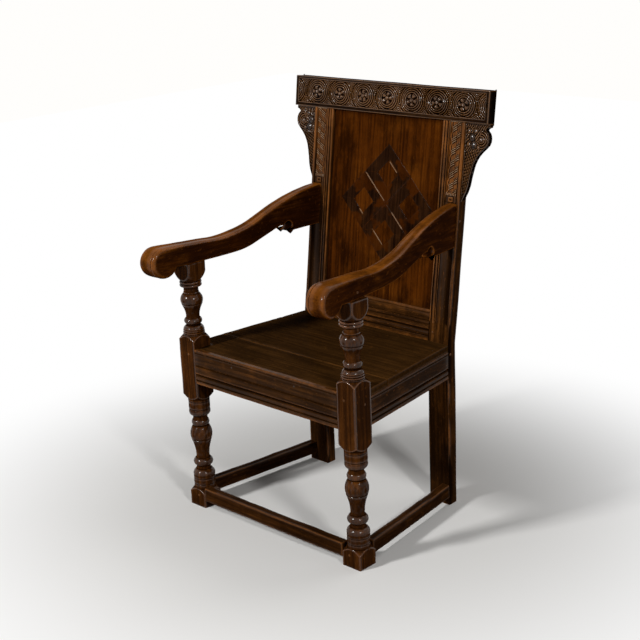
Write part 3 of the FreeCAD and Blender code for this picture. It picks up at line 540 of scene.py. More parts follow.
def leaning(co):
    """Leans a piece of the back from the height of the seat."""
    return knee + lean @ (co - knee)


def bend_at_knee(co):
    """Straight below the seat, leaning above it, with the bend mitred through the board."""
    if co.z < knee.z - 0.5 * mm:
        return co
    if co.z < knee.z + 0.5 * mm:
        return Vector((co.x, co.y, co.z - (co.y - knee.y) * math.tan(rake / 2)))
    return leaning(co)


def leaf_strip(across, up):
    """Height of the leaf carving, in millimetres below its highest ridge."""
    end = clamped((up - leaf_foot - 3.0) / 6.0)
    stem = max(0.0, 1 - ((across - 4.6 - 2.2 * math.sin(2 * math.pi * up / leaf_pitch)) / 2.6) ** 2)
    leaf = 0.45 * stem
    # Two columns of short curved gouge strokes, three to a group, rise to the right.
    for near, far, lift, reach in ((6.5, 20.5, 0.0, 15.5), (19.5, 31.0, 13.5, 13.0)):
        from_stem = across - near
        q = (up - lift - 0.85 * from_stem + 0.018 * from_stem * from_stem) % leaf_pitch
        column = clamped(from_stem / 1.8) * clamped((far - across) / 2.2)
        group = clamped(q / 1.2) * clamped((reach - q) / 1.2)
        stroke = max(0.0, math.sin(math.pi * (q % 5.0) / 5.0)) ** 1.4
        leaf = max(leaf, column * (group * stroke + (1 - group) * 0.22))
    flutes = abs(math.sin(math.pi * across / 4.4)) ** 1.2
    if up < leaf_foot:
        # A small square ring stands at the foot of the strip.
        ring = 10.0 < across < 22.0 and 3.0 < up < 14.0
        eye = 12.5 < across < 19.5 and 6.0 < up < 11.0
        flutes = 1.0 if ring and not eye else 0.3
    return -3.6 * (1 - (end * leaf + (1 - end) * flutes))


def stile_mesh(seed):
    """A stile as a straight moulded board, with the carved strip laid in its sunk field."""
    bm = bmesh.new()
    section = [Vector((x * mm, stile_front + y * mm, 0)) for x, y in stile_moulding]
    section += [
        Vector((x, stile_front + stile_depth - back, 0))
        for x, back in ((stile_width, 1.2 * mm), (stile_width - mm, 0), (mm, 0), (0, 1.2 * mm))
    ]
    top = seat_top + back_length
    run_section(bm, section, 2, 0, top)
    levels = [1.5 * mm, 4 * mm] + [24 * mm * k for k in range(1, 17)]
    levels += [seat_top, moulding_start - 6 * mm, moulding_start]
    levels += [moulding_start + 20 * mm * k for k in range(1, 14)]
    levels += [strip_low, strip_high, strip_low - 8 * mm]
    score(bm, 2, levels)
    score(bm, 1, [stile_front + depth * mm for depth in (4, 6, 9, 20, 23, 26)])
    for vertex in bm.verts:
        if vertex.co.z < moulding_start - 3 * mm and vertex.co.y < stile_front + 4 * mm:
            on_arris = vertex.co.x < 0.5 * mm or vertex.co.x > stile_width - 0.5 * mm
            vertex.co.y = stile_front + (1.2 * mm if on_arris else 0)
    field = [
        face for face in bm.faces
        if face.normal.y < -0.5 and strip_low < face.calc_center_median().z < strip_high
        and strip_left < face.calc_center_median().x < strip_right
    ]
    bmesh.ops.inset_region(bm, faces=field, thickness=0.5 * mm, depth=-strip_sink, use_even_offset=True)
    uneven(bm, 0.8 * mm, 9.0, seed)
    bmesh.ops.recalc_face_normals(bm, faces=bm.faces[:])
    sheet = add_relief(
        bm, leaf_strip, (strip_left, strip_right), (strip_low, strip_high), 0.8 * mm,
        lambda x, z, h: Vector((x, stile_front + 0.6 * mm - h, z)),
    )
    bm.normal_update()
    carved = {face for vertex in sheet for face in vertex.link_faces}
    if sum(face.normal.y for face in carved) > 0:
        bmesh.ops.reverse_faces(bm, faces=list(carved))
    bmesh.ops.translate(bm, vec=(stile_inner, 0, 0), verts=bm.verts)
    return bm


def add_relief(bm, carving, across, up, pitch, settle):
    """Adds a fine carved sheet; the carving gives its height in millimetres at each place."""
    wide = across[1] - across[0]
    tall = up[1] - up[0]
    sheet = bmesh.ops.create_grid(
        bm, x_segments=max(2, round(wide / pitch)), y_segments=max(2, round(tall / pitch)), size=0.5,
    )
    for vertex in sheet["verts"]:
        x = (vertex.co.x + 0.5) * wide
        z = (vertex.co.y + 0.5) * tall
        vertex.co = settle(across[0] + x, up[0] + z, carving(x / mm, z / mm) * mm)
    return sheet["verts"]


# Its rims colour is the pale painted highlight on the crowns of the stiles' beads and carved ridges.
oak_frame = oak(
    "frame oak", deep=(0.020, 0.0074, 0.0018), body=(0.046, 0.0175, 0.0044),
    worn_and_lit=(0.28, 0.094, 0.017), gloss=0.30, wear=0.75, coat=0.3,
    rims=(0.34, 0.23, 0.14),
)


def on_side(hand, bend):
    """Puts a right-hand piece on its own side of the chair, after its bend or lean."""
    return lambda co: bend(Vector((hand * co.x, co.y, co.z)))


def stile_wear_and_highlights(at, facing):
    """The beads and the carved strip are rubbed brighter than the plain wood, its ridges most; the crowns of
    the beads and ridges go on into a pale painted highlight.
    """
    across = at[:, 0] - stile_inner
    in_front = facing[:, 1] < -0.2
    upper = np.clip((at[:, 2] - strip_low) / (30 * mm), 0, 1) * in_front
    strip = (across > strip_left) & (across < strip_right)
    bead = across > strip_right + 2 * mm
    inner = (across < 6 * mm) & (at[:, 2] > moulding_start)
    ridge = np.clip((stile_front + 2.6 * mm - at[:, 1]) / (1.4 * mm), 0, 1)
    rubbed_and_lit = strip * (0.6 + 1.4 * ridge) + 0.75 * bead
    return rubbed_and_lit * upper + 0.7 * inner * in_front, -0.6 * upper * strip


for side, hand in hands:
    finish_piece(
        stile_mesh(11.0 + hand), "back_stile_" + side + "_carved", oak_frame,
        ["back_stile_" + side], seed=5.0 + hand, place=on_side(hand, bend_at_knee), crease=50.0,
        handled=stile_wear_and_highlights, closed=False,
    )

# The seat rails: a moulded front rail and two moulded side rails, tenoned into the posts and
# stiles, and a plain rear rail. A bead and a hollow are run along each face near its foot,
# and a fine line under its top edge. The front rail stands up as a lip before the boards.

rail_low = 333 * mm
rail_thick = 26 * mm
board_under = 402 * mm
post_inner = 231 * mm
post_back = post_front + 2 * block_half
splay = (front_half - stile_outer) / side_run
rail_moulding = (
    (0.8, 0.0), (0.0, 1.2), (0.0, 7.0), (1.6, 8.4), (3.0, 9.0), (1.6, 10.2), (0.6, 12.2), (0.0, 15.5),
    (0.6, 18.8), (1.6, 20.8), (3.0, 22.0), (3.3, 23.0), (2.8, 25.0), (1.2, 26.6), (0.0, 27.4),
    (0.0, 29.0), (0.0, 31.0),
)
rail_top_moulding = (
    (0.0, -12.0), (0.0, -9.6), (0.0, -7.8), (1.5, -7.0), (0.2, -6.0), (0.0, -4.0), (0.5, -1.4), (2.2, 0.0),
)


def rail_section(low, high, thick, lip=None, extra=()):
    """A rail's section as (depth behind the face, height) from its bottom front arris round."""
    points = [(depth, low / mm + height) for depth, height in rail_moulding + extra]
    points += [(depth, high / mm + height) for depth, height in rail_top_moulding]
    if lip:
        lip_depth, lip_low = lip
        points += [(lip_depth / mm - 1.5, high / mm), (lip_depth / mm, high / mm - 1.5)]
        points += [(lip_depth / mm, lip_low / mm), (thick / mm, lip_low / mm)]
    else:
        points += [(thick / mm - 1, high / mm), (thick / mm, high / mm - 1)]
    points += [(thick / mm, low / mm + 1), (thick / mm - 1, low / mm)]
    return [(depth * mm, height * mm) for depth, height in points]


def run_rail(section, axis, face, low, high, seed):
    """A moulded rail along an axis, its face to the front or to the side, scored and uneven."""
    bm = bmesh.new()
    corners = [(low, face + depth, z) if axis == 0 else (face - depth, low, z) for depth, z in section]
    run_section(bm, corners, axis, low, high)
    step = 12 * mm
    score(bm, axis, [low + k * step for k in range(1, int((high - low) / step))])
    uneven(bm, 0.7 * mm, 12.0, seed)
    uneven(bm, 0.25 * mm, 70.0, seed + 3)
    return bm


def side_line(y):
    """How far the chair's oblique side stands from the middle, at a depth."""
    return front_half - (y - post_front) * splay


def set_oblique(bm):
    """Moves a straight piece out to the chair's oblique side; its ends stay square to the chair."""
    for vertex in bm.verts:
        vertex.co.x += side_line(vertex.co.y)
    return bm


finish_piece(
    run_rail(
        rail_section(rail_low, seat_top, rail_thick, lip=(13 * mm, board_under), extra=(
            (0.0, 43.0), (0.0, 46.0), (1.1, 47.0), (0.0, 48.0), (0.0, 51.0),
        )),
        0, post_front, -post_inner, post_inner, 21.0,
    ),
    "moulded_front_rail", oak_frame, ["front_seat_rail"], grain="x", seed=8.0,
)
side_section = rail_section(rail_low, board_under, rail_thick)
for side, hand in hands:
    finish_piece(
        set_oblique(run_rail(side_section, 1, 0, post_back, stile_front, 25.0 + hand)),
        "moulded_side_rail_" + side, oak_frame, ["side_seat_rail_" + side],
        grain="y", seed=11.0 + hand, place=on_side(hand, upright),
    )


def plank(low, high, soft, spacing, seed, rough=0.6):
    """A sawn board: a cube divided by a net of lines, its arrises rounded and its faces uneven."""
    bm = bmesh.new()
    bmesh.ops.create_cube(bm, size=1)
    low, high = Vector(low), Vector(high)
    middle, size = (low + high) / 2, high - low
    for vertex in bm.verts:
        vertex.co = middle + Vector([vertex.co[k] * size[k] for k in range(3)])
    for axis in range(3):
        score(bm, axis, net(low[axis], high[axis], soft, spacing[axis]))
    for vertex in bm.verts:
        core = Vector([
            min(max(vertex.co[k], low[k] + soft), high[k] - soft) for k in range(3)
        ])
        out = vertex.co - core
        if out.length > 0:
            vertex.co = core + out.normalized() * soft
    uneven(bm, rough * mm, 11.0, seed)
    uneven(bm, 0.4 * rough * mm, 60.0, seed + 2)
    return bm


finish_piece(
    plank(
        (-stile_inner, stile_front, rail_low), (stile_inner, stile_front + 20 * mm, board_under + 5 * mm),
        1.5 * mm, (14 * mm, 12 * mm, 14 * mm), 31.0,
    ),
    "plain_rear_rail", oak_frame, ["rear_seat_rail"], grain="x", seed=14.0,
)

# Three low stretchers join the feet in front and at the sides; there is none at the back.
# They are plain square rails, set close above the floor and worn hollow by boots.

stretcher_low = 20 * mm
stretcher_high = 54 * mm
stretcher_thick = 22 * mm
oak_stretcher = oak(
    "stretcher oak", deep=(0.018, 0.0064, 0.0018), body=(0.041, 0.0145, 0.0036),
    worn_and_lit=(0.17, 0.060, 0.013), gloss=0.36, wear=0.7, coat=0.3,
)


def boot_wear(bm, axis, low, high, seed):
    """Hollows the upper front arris where boots have rested, most in the middle."""
    for vertex in bm.verts:
        along = (vertex.co[axis] - low) / (high - low)
        if vertex.co.z > stretcher_high - 8 * mm:
            depth = math.sin(math.pi * along) * (1.2 + 1.4 * noise.noise(Vector((along * 7, seed, 0))))
            vertex.co.z -= max(0.0, depth) * mm


front_bar = plank(
    (-post_inner, post_front, stretcher_low), (post_inner, post_front + stretcher_thick, stretcher_high),
    2.6 * mm, (12 * mm, 8 * mm, 10 * mm), 41.0, 0.8,
)
boot_wear(front_bar, 0, -post_inner, post_inner, 3.0)
finish_piece(
    front_bar, "worn_front_stretcher", oak_stretcher, ["front_stretcher"],
    grain="x", seed=17.0,
)
for side, hand in hands:
    side_bar = plank(
        (-stretcher_thick, post_back, stretcher_low), (0, stile_front, stretcher_high),
        2.2 * mm, (8 * mm, 12 * mm, 10 * mm), 44.0 + hand, 0.8,
    )
    boot_wear(side_bar, 1, post_back, stile_front, 5.0 + hand)
    finish_piece(
        set_oblique(side_bar), "worn_side_stretcher_" + side, oak_stretcher,
        ["side_stretcher_" + side], grain="y", seed=19.0 + hand, place=on_side(hand, upright),
    )

# The seat: two oak boards laid from side to side and nailed down on the side rails, the
# front one notched round the posts. Their tops are dished, dented and dull with use.

board_joint = post_front + 129 * mm
seat_front = post_front + 13.3 * mm
seat_back = stile_front - 0.3 * mm
oak_seat = oak(
    "seat oak", deep=(0.028, 0.0115, 0.0028), body=(0.056, 0.0235, 0.0058),
    worn_and_lit=(0.13, 0.050, 0.010), gloss=0.36, wear=0.45, coat=0.1,
)


def seat_plank(front, back, soft, seed):
    """A seat board in its own straight shape, then narrowed towards the back."""
    bm = plank(
        (-front_half, front, board_under), (front_half, back, seat_top),
        soft, (7 * mm, 7 * mm, 9 * mm), seed, 0.7,
    )
    notch = post_inner - 0.3 * mm
    for vertex in bm.verts:
        vertex.co.x *= side_line(vertex.co.y) / front_half
        if vertex.co.z > seat_top - 4 * mm:
            pits = noise.noise(vertex.co * 24.0 + Vector((seed, 0, 0)))
            dents = max(0.0, noise.noise(vertex.co * 75.0 + Vector((0, seed, 0))) - 0.42)
            dish = (1 - (vertex.co.x / front_half) ** 2) * 0.9
            vertex.co.z -= (0.5 * max(0.0, pits) + 3.2 * dents + dish) * mm
        if vertex.co.y < post_back + 0.3 * mm and abs(vertex.co.x) > notch:
            vertex.co.x = math.copysign(notch, vertex.co.x)
    return bm


def seat_soot(at, facing):
    """Dust and wax lie dark in the joint of the boards and along the rail's lip and the back."""
    lines = np.min([abs(at[:, 1] - line) for line in (board_joint, seat_front, seat_back)], axis=0)
    return 0, 0.9 * np.clip(1 - lines / (3.5 * mm), 0, 1)


finish_piece(
    seat_plank(seat_front, board_joint, 2.6 * mm, 51.0), "front_seat_plank", oak_seat,
    ["seat_board_front"], grain="x", seed=22.0, handled=seat_soot,
)
finish_piece(
    seat_plank(board_joint + 0.6 * mm, seat_back, 1.6 * mm, 54.0), "rear_seat_plank", oak_seat,
    ["seat_board_rear"], grain="x", seed=24.0, handled=seat_soot,
)

# The lower back rail lies between the stiles on the seat, with the back's lean. A bead and
# two hollows are run along it, and the panel stands in the groove of its top edge.

lower_high = seat_top + 74 * mm
lower_thick = 22 * mm
lower_middle = (
    (0.0, 33.0), (2.0, 34.0), (2.0, 37.0), (0.6, 38.6), (0.0, 41.5), (0.6, 44.4), (2.0, 46.0), (0.0, 48.0),
)
lower_section = rail_section(seat_top + 0.3 * mm, lower_high, lower_thick, extra=lower_middle)
lower_foot = 3.2 * mm
finish_piece(
    run_rail(
        [(depth, z - lower_foot if z < seat_top + 1.6 * mm else z) for depth, z in lower_section],
        0, stile_front, -stile_inner, stile_inner, 61.0,
    ),
    "moulded_lower_rail", oak_frame, ["lower_back_rail"], grain="x", seed=27.0,
    place=leaning,
)

# The back panel is one wide board, set behind the faces of its frame with its grain upright.
# Four square frames of dark wood are let into it on their points, as one large lozenge.
# Age has raised and chipped their strips, and a few of their rims carry a pale painted highlight.

crest_low = seat_top + back_length
panel_front = stile_front + 9 * mm
panel_thick = 10 * mm
panel_low = seat_top + 67 * mm
panel_high = seat_top + back_length + 7 * mm
panel_half = stile_inner + 6.7 * mm
inlay_cell = 102.5 * mm
inlay_band = 28 * mm
inlay_centre = Vector((9 * mm, 0, seat_top + 310 * mm))
oak_panel = oak(
    "panel oak", deep=(0.025, 0.0062, 0.0008), body=(0.078, 0.0195, 0.0016),
    worn_and_lit=(0.17, 0.050, 0.005), gloss=0.34, rings=1.2, stains=1.0, coat=0.1,
)


def panel_darker_by_frame(at, facing):
    """The panel is darker along its frame."""
    edge = np.minimum(stile_inner - abs(at[:, 0]), np.minimum(at[:, 2] - lower_high, crest_low - at[:, 2]))
    return 0, 0.5 * np.clip(1 - edge / (26 * mm), 0, 1)


finish_piece(
    plank(
        (-panel_half, panel_front, panel_low), (panel_half, panel_front + panel_thick, panel_high),
        1.0 * mm, (9 * mm, 6 * mm, 11 * mm), 71.0, 0.9,
    ),
    "wide_back_panel", oak_panel, ["back_panel"], seed=31.0, place=leaning,
    handled=panel_darker_by_frame,
)
# Its rims colour is the pale painted highlight on a few of its rims.
oak_inlay = oak(
    "dark inlay", deep=(0.008, 0.0028, 0.0012), body=(0.027, 0.0098, 0.0036),
    worn_and_lit=(0.075, 0.026, 0.006), gloss=0.34, rings=0.8, stains=0.8, patchy=0.35, coat=0.2,
    faded=(0.058, 0.0135, 0.0008), rims=(0.27, 0.165, 0.095),
)


def inlay_strip(quarter, seed):
    """One mitred strip of a square frame, flat, with softened arrises and a chipped face."""
    outer = inlay_cell / 2 - 0.4 * mm
    inner = outer - inlay_band
    bm = plank((-1, 0, inner), (1, 2.8 * mm, outer), 0.45 * mm, (0.05, 2 * mm, 4 * mm), seed, 0.25)
    for vertex in bm.verts:
        half = max(0.1 * mm, vertex.co.z - 0.4 * mm)
        vertex.co.x *= half
        chip = max(0.0, noise.noise(vertex.co * 40.0 + Vector((seed, seed, 0))) - 0.25)
        if vertex.co.y < 1.2 * mm:
            vertex.co.y += 1.2 * chip * mm
    bmesh.ops.rotate(bm, verts=bm.verts, matrix=Matrix.Rotation(quarter * math.pi / 2, 3, "Y"))
    return bm


def lit_rims(at, facing):
    """A few rims that run down to the right are painted pale, as highlights where the light catches their
    raised edges.
    """
    x, z = at[:, 0] - inlay_centre.x, at[:, 2] - inlay_centre.z
    across, along = (x + z) / math.sqrt(2), (z - x) / math.sqrt(2)
    inner_rim = inlay_cell - inlay_band
    lit = -np.ones(len(at))
    for line, low, high in (
        (0, 0.08, 0.96), (0, -0.78, -0.28), (inner_rim, 0.34, 0.68), (-inner_rim, -0.68, -0.20),
        (-inner_rim, 0.26, 0.42),
    ):
        near = (abs(across - line) < 1.3 * mm) & (along > low * inlay_cell) & (along < high * inlay_cell)
        lit[near] = 3.0
    return lit, 0


inlay_bm = bmesh.new()
on_point = Matrix.Rotation(math.pi / 4, 4, "Y")
home = Matrix.Translation(inlay_centre + Vector((0, panel_front - 0.8 * mm, 0)))
for u in (-1, 1):
    for v in (-1, 1):
        cell = Matrix.Translation((u * inlay_cell / 2, 0, v * inlay_cell / 2))
        for quarter in range(4):
            strip = inlay_strip(quarter, 80.0 + quarter + 5 * u + 9 * v)
            strip_mesh = bpy.data.meshes.new("strip")
            strip.to_mesh(strip_mesh)
            strip.free()
            strip_mesh.transform(home @ on_point @ cell)
            inlay_bm.from_mesh(strip_mesh)
            bpy.data.meshes.remove(strip_mesh)
finish_piece(
    inlay_bm, "lozenge_inlay", oak_inlay, ["panel_inlay"], seed=35.0,
    place=leaning, handled=lit_rims,
)

# The cresting rail caps both stiles and overhangs them. Between plain fillets its face is
# carved with a row of linked rosettes, each a boss and petals inside four round ridges,
# with leaf cuts in the corners between them.

crest_half = stile_outer + 66.5 * mm
crest_high = crest_low + 75 * mm
crest_front = stile_front - 4 * mm
crest_thick = 26 * mm
rosette_pitch = 76.6
rosette_level = 38.5
end_fillet = 8.5
fillet_low = 9.0
fillet_high = 69.5
boss_reach = 5.0
petal_reach = 16.5
ring_reach = 38.0


def crest_carving(across, up):
    """Height of the crest's carving, in millimetres from its plain fillets."""
    along = across - crest_half / mm
    drift = noise.noise(Vector((along * 0.021, up * 0.03, 4.0)))
    height = up - rosette_level - 1.2 * drift
    index = round(along / rosette_pitch)
    off = along - index * rosette_pitch - 1.6 * noise.noise(Vector((index * 2.7, 1.3, 0)))
    reach = math.hypot(off, height * 1.03)
    turn = math.atan2(height, off)
    chatter = noise.noise(Vector((along * 0.16, up * 0.16, 7.0)))
    edge = clamped((crest_half / mm - end_fillet - abs(along)) / 1.2)
    edge *= clamped((up - fillet_low) / 1.4) * clamped((fillet_high - up) / 1.2)
    if reach < boss_reach:
        carved = 1.6 - 0.07 * reach * reach
    elif reach < petal_reach:
        # Five petals round the boss, each with a gouge cut down its middle.
        petal = math.cos(5 * turn / 2 + 0.5 * index + 0.5 * chatter) ** 2
        bell = max(0.0, math.sin(math.pi * (reach - 4.0) / 12.8))
        carved = -4.4 + 6.2 * petal ** 0.5 * bell ** 0.5 - 5.0 * max(0.0, petal - 0.88) * bell
    elif reach < ring_reach:
        # Four ridges on a low dome, so that one flank of every ring catches the light.
        ridge = abs(math.sin(math.pi * (reach - petal_reach) / 5.35))
        carved = -3.6 + (3.6 + 0.6 * chatter) * ridge ** 1.3 - 0.0030 * (reach * reach - 272)
    else:
        # Between the rings a pair of leaves springs from each fillet, cut with short strokes.
        side = abs(abs(off) - rosette_pitch / 2)
        level = 37.0 - abs(height)
        veins = abs(math.sin(math.pi * (level * 0.9 + side * 0.7) / 4.4))
        carved = -4.3 + clamped((reach - ring_reach) / 1.5) * (3.4 * veins ** 0.9 + 0.8 * chatter)
    return edge * (carved + 0.45 * chatter - 0.2)


def draw_out(bm, rim):
    """Draws a rim of edges out into a new row of faces; gives its vertices and the new rim."""
    drawn = bmesh.ops.extrude_edge_only(bm, edges=rim)["geom"]
    verts = [part for part in drawn if isinstance(part, bmesh.types.BMVert)]
    return verts, [part for part in drawn if isinstance(part, bmesh.types.BMEdge)]


def score_back(bm, spacing):
    """Divides the wide flat back of a carved piece, which was drawn as one face."""
    back = max(vertex.co.y for vertex in bm.verts) - 0.5 * mm
    for axis in (2, 0):
        low = min(vertex.co[axis] for vertex in bm.verts)
        high = max(vertex.co[axis] for vertex in bm.verts)
        count = round((high - low) / spacing)
        for k in range(1, count):
            faces = [face for face in bm.faces if all(vertex.co.y > back for vertex in face.verts)]
            cut_across(bm, axis, low + (high - low) * k / count, faces)


def carved_rail(seed):
    """The crest: a carved sheet, drawn out backwards from its rim with softened arrises."""
    bm = bmesh.new()
    margin = 1.2 * mm
    inner = 1.6 * mm
    tall = (crest_high - crest_low) / 2
    middle = Vector((0, 0, (crest_low + crest_high) / 2))
    add_relief(
        bm, crest_carving, (0, 2 * crest_half), (0, crest_high - crest_low), 0.95 * mm,
        lambda x, z, h: Vector((x - crest_half, crest_front - h, crest_low + z)),
    )
    rim = [edge for edge in bm.edges if edge.is_boundary]
    broad = crest_thick - 2 * margin - 2 * inner
    for depth, grow in ((margin, margin), (inner, 0), (broad, 0), (inner, 0), (margin, -margin)):
        moved, rim = draw_out(bm, rim)
        bmesh.ops.translate(bm, vec=(0, depth, 0), verts=moved)
        for vertex in moved:
            out = vertex.co - middle
            vertex.co.x += math.copysign(grow, out.x) if abs(out.x) > crest_half - 2.5 * margin else 0
            vertex.co.z += math.copysign(grow, out.z) if abs(out.z) > tall - 2.5 * margin else 0
    back = bmesh.ops.contextual_create(bm, geom=rim)["faces"]
    for _ in range(3):
        bmesh.ops.inset_region(bm, faces=back, thickness=2.2 * mm)
    score_back(bm, 18 * mm)
    narrower = Vector(((crest_half - margin) / crest_half, 1, 1))
    for vertex in bm.verts:
        vertex.co.x *= narrower.x
        vertex.co.z = middle.z + (vertex.co.z - middle.z) * (tall - margin) / tall
    uneven(bm, 0.8 * mm, 8.0, seed)
    return bm


oak_carved = oak(
    "carved oak", deep=(0.0055, 0.0021, 0.0006), body=(0.021, 0.0078, 0.0016),
    worn_and_lit=(0.165, 0.070, 0.020), gloss=0.24, wear=0.9, patchy=0.4, stains=0.3, coat=0.95,
)


def soot_and_shade_below(face):
    """Darkens a carving by its depth below the face, partly as soot and wax and partly as painted shade;
    faces turned away from the front, the walls of the cuts and the piece's top and ends, get painted shade as
    well.
    """
    def soot_and_shade(at, facing):
        depth = at[:, 1] - face
        cut = np.clip((depth - 1.6 * mm) / (3.2 * mm), 0, 1)
        # Painted shade on the faces that turn away from the front.
        side = np.clip((depth - 0.9 * mm) / (1.5 * mm), 0, 1) * (facing[:, 1] > -0.4)
        return 0, np.maximum(0.9 * cut, 0.5 * side) * (facing[:, 1] < 0.9)

    return soot_and_shade


finish_piece(
    carved_rail(91.0), "carved_cresting_rail", oak_carved, ["crest_rail"],
    grain="x", seed=38.0, place=leaning, crease=60.0, handled=soot_and_shade_below(crest_front),
)

# The ear brackets stand beside the stiles under the ends of the crest: scrolled consoles
# cut from thinner oak, set back and nailed on. Round bosses fill the lobe, with curved
# ridges round the outer one, and overlapping scales run down the hollow to the tail.

ear_reach = 66 * mm
ear_drop = 183 * mm
ear_front = stile_front + 6 * mm
ear_thick = 14 * mm
ear_lobe = (44.0, 37.0)
scales_start = 66.0
ear_knobs = (
    (18.0, 34.0, 9.0), (24.0, 51.0, 9.0), (8.5, 19.0, 6.5), (28.0, 18.0, 6.5), (44.0, 37.0, 6.5),
    (9.0, 50.0, 5.5), (38.0, 55.0, 5.5),
)
ear_outline_shares = (
    (0.000, 1.00), (0.040, 1.00), (0.052, 0.91), (0.074, 0.845), (0.093, 0.875), (0.109, 0.93),
    (0.145, 0.98), (0.180, 1.00), (0.224, 0.99), (0.264, 0.945), (0.310, 0.83), (0.357, 0.69),
    (0.414, 0.555), (0.470, 0.465), (0.525, 0.40), (0.579, 0.36), (0.689, 0.295), (0.792, 0.25),
    (0.874, 0.18), (0.951, 0.08), (1.000, 0.03),
)


def share_at(table, place):
    """Reads a table of (place, value) rows between its rows."""
    for (a, low), (b, high) in zip(table, table[1:]):
        if place <= b:
            return low + (high - low) * (place - a) / (b - a)
    return table[-1][1]


def ear_carving(across, down):
    """Height of the bracket's carving at a place beside the stile and below the crest, in mm."""
    width = ear_reach / mm * share_at(ear_outline_shares, down / (ear_drop / mm))
    inside = width - across
    rim = clamped(inside / 1.5) * clamped((across - 0.8) / 1.2) * clamped((down - 2.0) / 2.0)
    chatter = noise.noise(Vector((across * 0.17, down * 0.17, 2.0)))
    knobs = max(1 - (math.hypot(across - x, (down - z) * 0.9) / size) ** 2 for x, z, size in ear_knobs)
    reach = math.hypot(across - ear_lobe[0], down - ear_lobe[1])
    if knobs > 0:
        carved = -4.0 + 4.8 * knobs ** 0.5
    elif reach < 22.0 and across + 0.4 * (down - ear_lobe[1]) > 37.0:
        carved = -4.0 + 3.8 * abs(math.sin(math.pi * (reach - 5.0) / 5.7)) ** 1.1
    elif down < scales_start:
        carved = -4.0 + 2.8 * abs(math.sin(math.pi * (across + 0.7 * down + 2.0 * chatter) / 6.0)) ** 1.1
    else:
        row = (down + 0.5 * across - scales_start) / 7.0
        shift = 2.9 * (int(row) % 2)
        scallop = abs(math.sin(math.pi * (across + shift) / 5.8))
        carved = -4.2 + 4.0 * (1 - (row % 1.0) * 0.85) * scallop ** 0.5
    return rim * (carved + 0.5 * chatter - 0.1)


def ear_mesh():
    """A bracket: a carved sheet narrowed to the scrolled outline, drawn out backwards."""
    bm = bmesh.new()
    face = add_relief(
        bm, lambda x, z: 0.0, (0, ear_reach), (0, ear_drop), 0.85 * mm,
        lambda x, z, h: Vector((x, 0, z)),
    )
    for vertex in face:
        down = ear_drop - vertex.co.z
        width = max(0.03, share_at(ear_outline_shares, down / ear_drop))
        across = vertex.co.x * width
        height = ear_carving(across / mm, down / mm) * mm
        vertex.co = Vector((stile_outer + across, ear_front - height, crest_low - down))
    rim = [edge for edge in bm.edges if edge.is_boundary]
    for depth in (1.5 * mm, 1.5 * mm, ear_thick - 6 * mm, 1.5 * mm, 1.5 * mm):
        moved, rim = draw_out(bm, rim)
        bmesh.ops.translate(bm, vec=(0, depth, 0), verts=moved)
    bmesh.ops.contextual_create(bm, geom=rim)
    score_back(bm, 10 * mm)
    bmesh.ops.remove_doubles(bm, verts=bm.verts[:], dist=0.02 * mm)
    return bm


for side, hand in hands:
    finish_piece(
        ear_mesh(), "carved_ear_" + side, oak_carved,
        ["ear_bracket_" + side], seed=41.0 + hand, place=on_side(hand, leaning), crease=60.0,
        handled=soot_and_shade_below(ear_front),
    )

# The arms. Each is sawn from a thick board: a scrolled knob in front of the post, a dip over
# it, a rise to the stile with a bird's-beak notch below, narrowing all the way back. The
# upper arrises are rounded, with a fine line scratched along the inner side.

arm_front_wide = 48 * mm
arm_rear_wide = 31 * mm
arm_rise = 120 * mm
arm_run = 420 * mm
knob_centre = (post_front - 60 * mm, arm_under + 16 * mm)
knob_radius = 36 * mm
notch_radius = 13.5 * mm
arm_top_shares = (
    (0.13, 0.385), (0.262, 0.360), (0.40, 0.412), (0.50, 0.495), (0.60, 0.632),
    (0.707, 0.775), (0.83, 0.897), (0.95, 0.972), (1.06, 1.006),
)
arm_under_shares = (
    (0.690, 0.300), (0.621, 0.225), (0.543, 0.138), (0.464, 0.058), (0.388, 0.017), (0.276, 0.000),
)
notch_shares = (0.762, 0.2625)
arm_tail_share = 0.165
oak_arm = oak(
    "arm oak", deep=(0.021, 0.0052, 0.0008), body=(0.050, 0.0122, 0.0010),
    worn_and_lit=(0.25, 0.076, 0.008), gloss=0.25, wear=0.85, coat=0.4,
)


def arm_place(run_share, rise_share):
    """A place in the arm's side view, by its shares of the arm's run and rise."""
    return Vector((post_front + arm_run * run_share, arm_under + arm_rise * rise_share))


def through(points, before, after, steps):
    """A smooth line through points, each span bent to suit its neighbours."""
    line = [before] + points + [after]
    made = []
    for a, b, c, d in zip(line, line[1:], line[2:], line[3:]):
        for k in range(steps):
            t = k / steps
            made.append(0.5 * (
                2 * b + (c - a) * t + (2 * a - 5 * b + 4 * c - d) * t * t
                + (3 * b - a - 3 * c + d) * t * t * t
            ))
    return made + [points[-1]]


def round_about(centre, radius, first, last, steps):
    """Points on an arc between two angles in degrees."""
    angles = [math.radians(first + (last - first) * k / steps) for k in range(steps + 1)]
    return [Vector((centre[0] + radius * math.cos(a), centre[1] + radius * math.sin(a))) for a in angles]


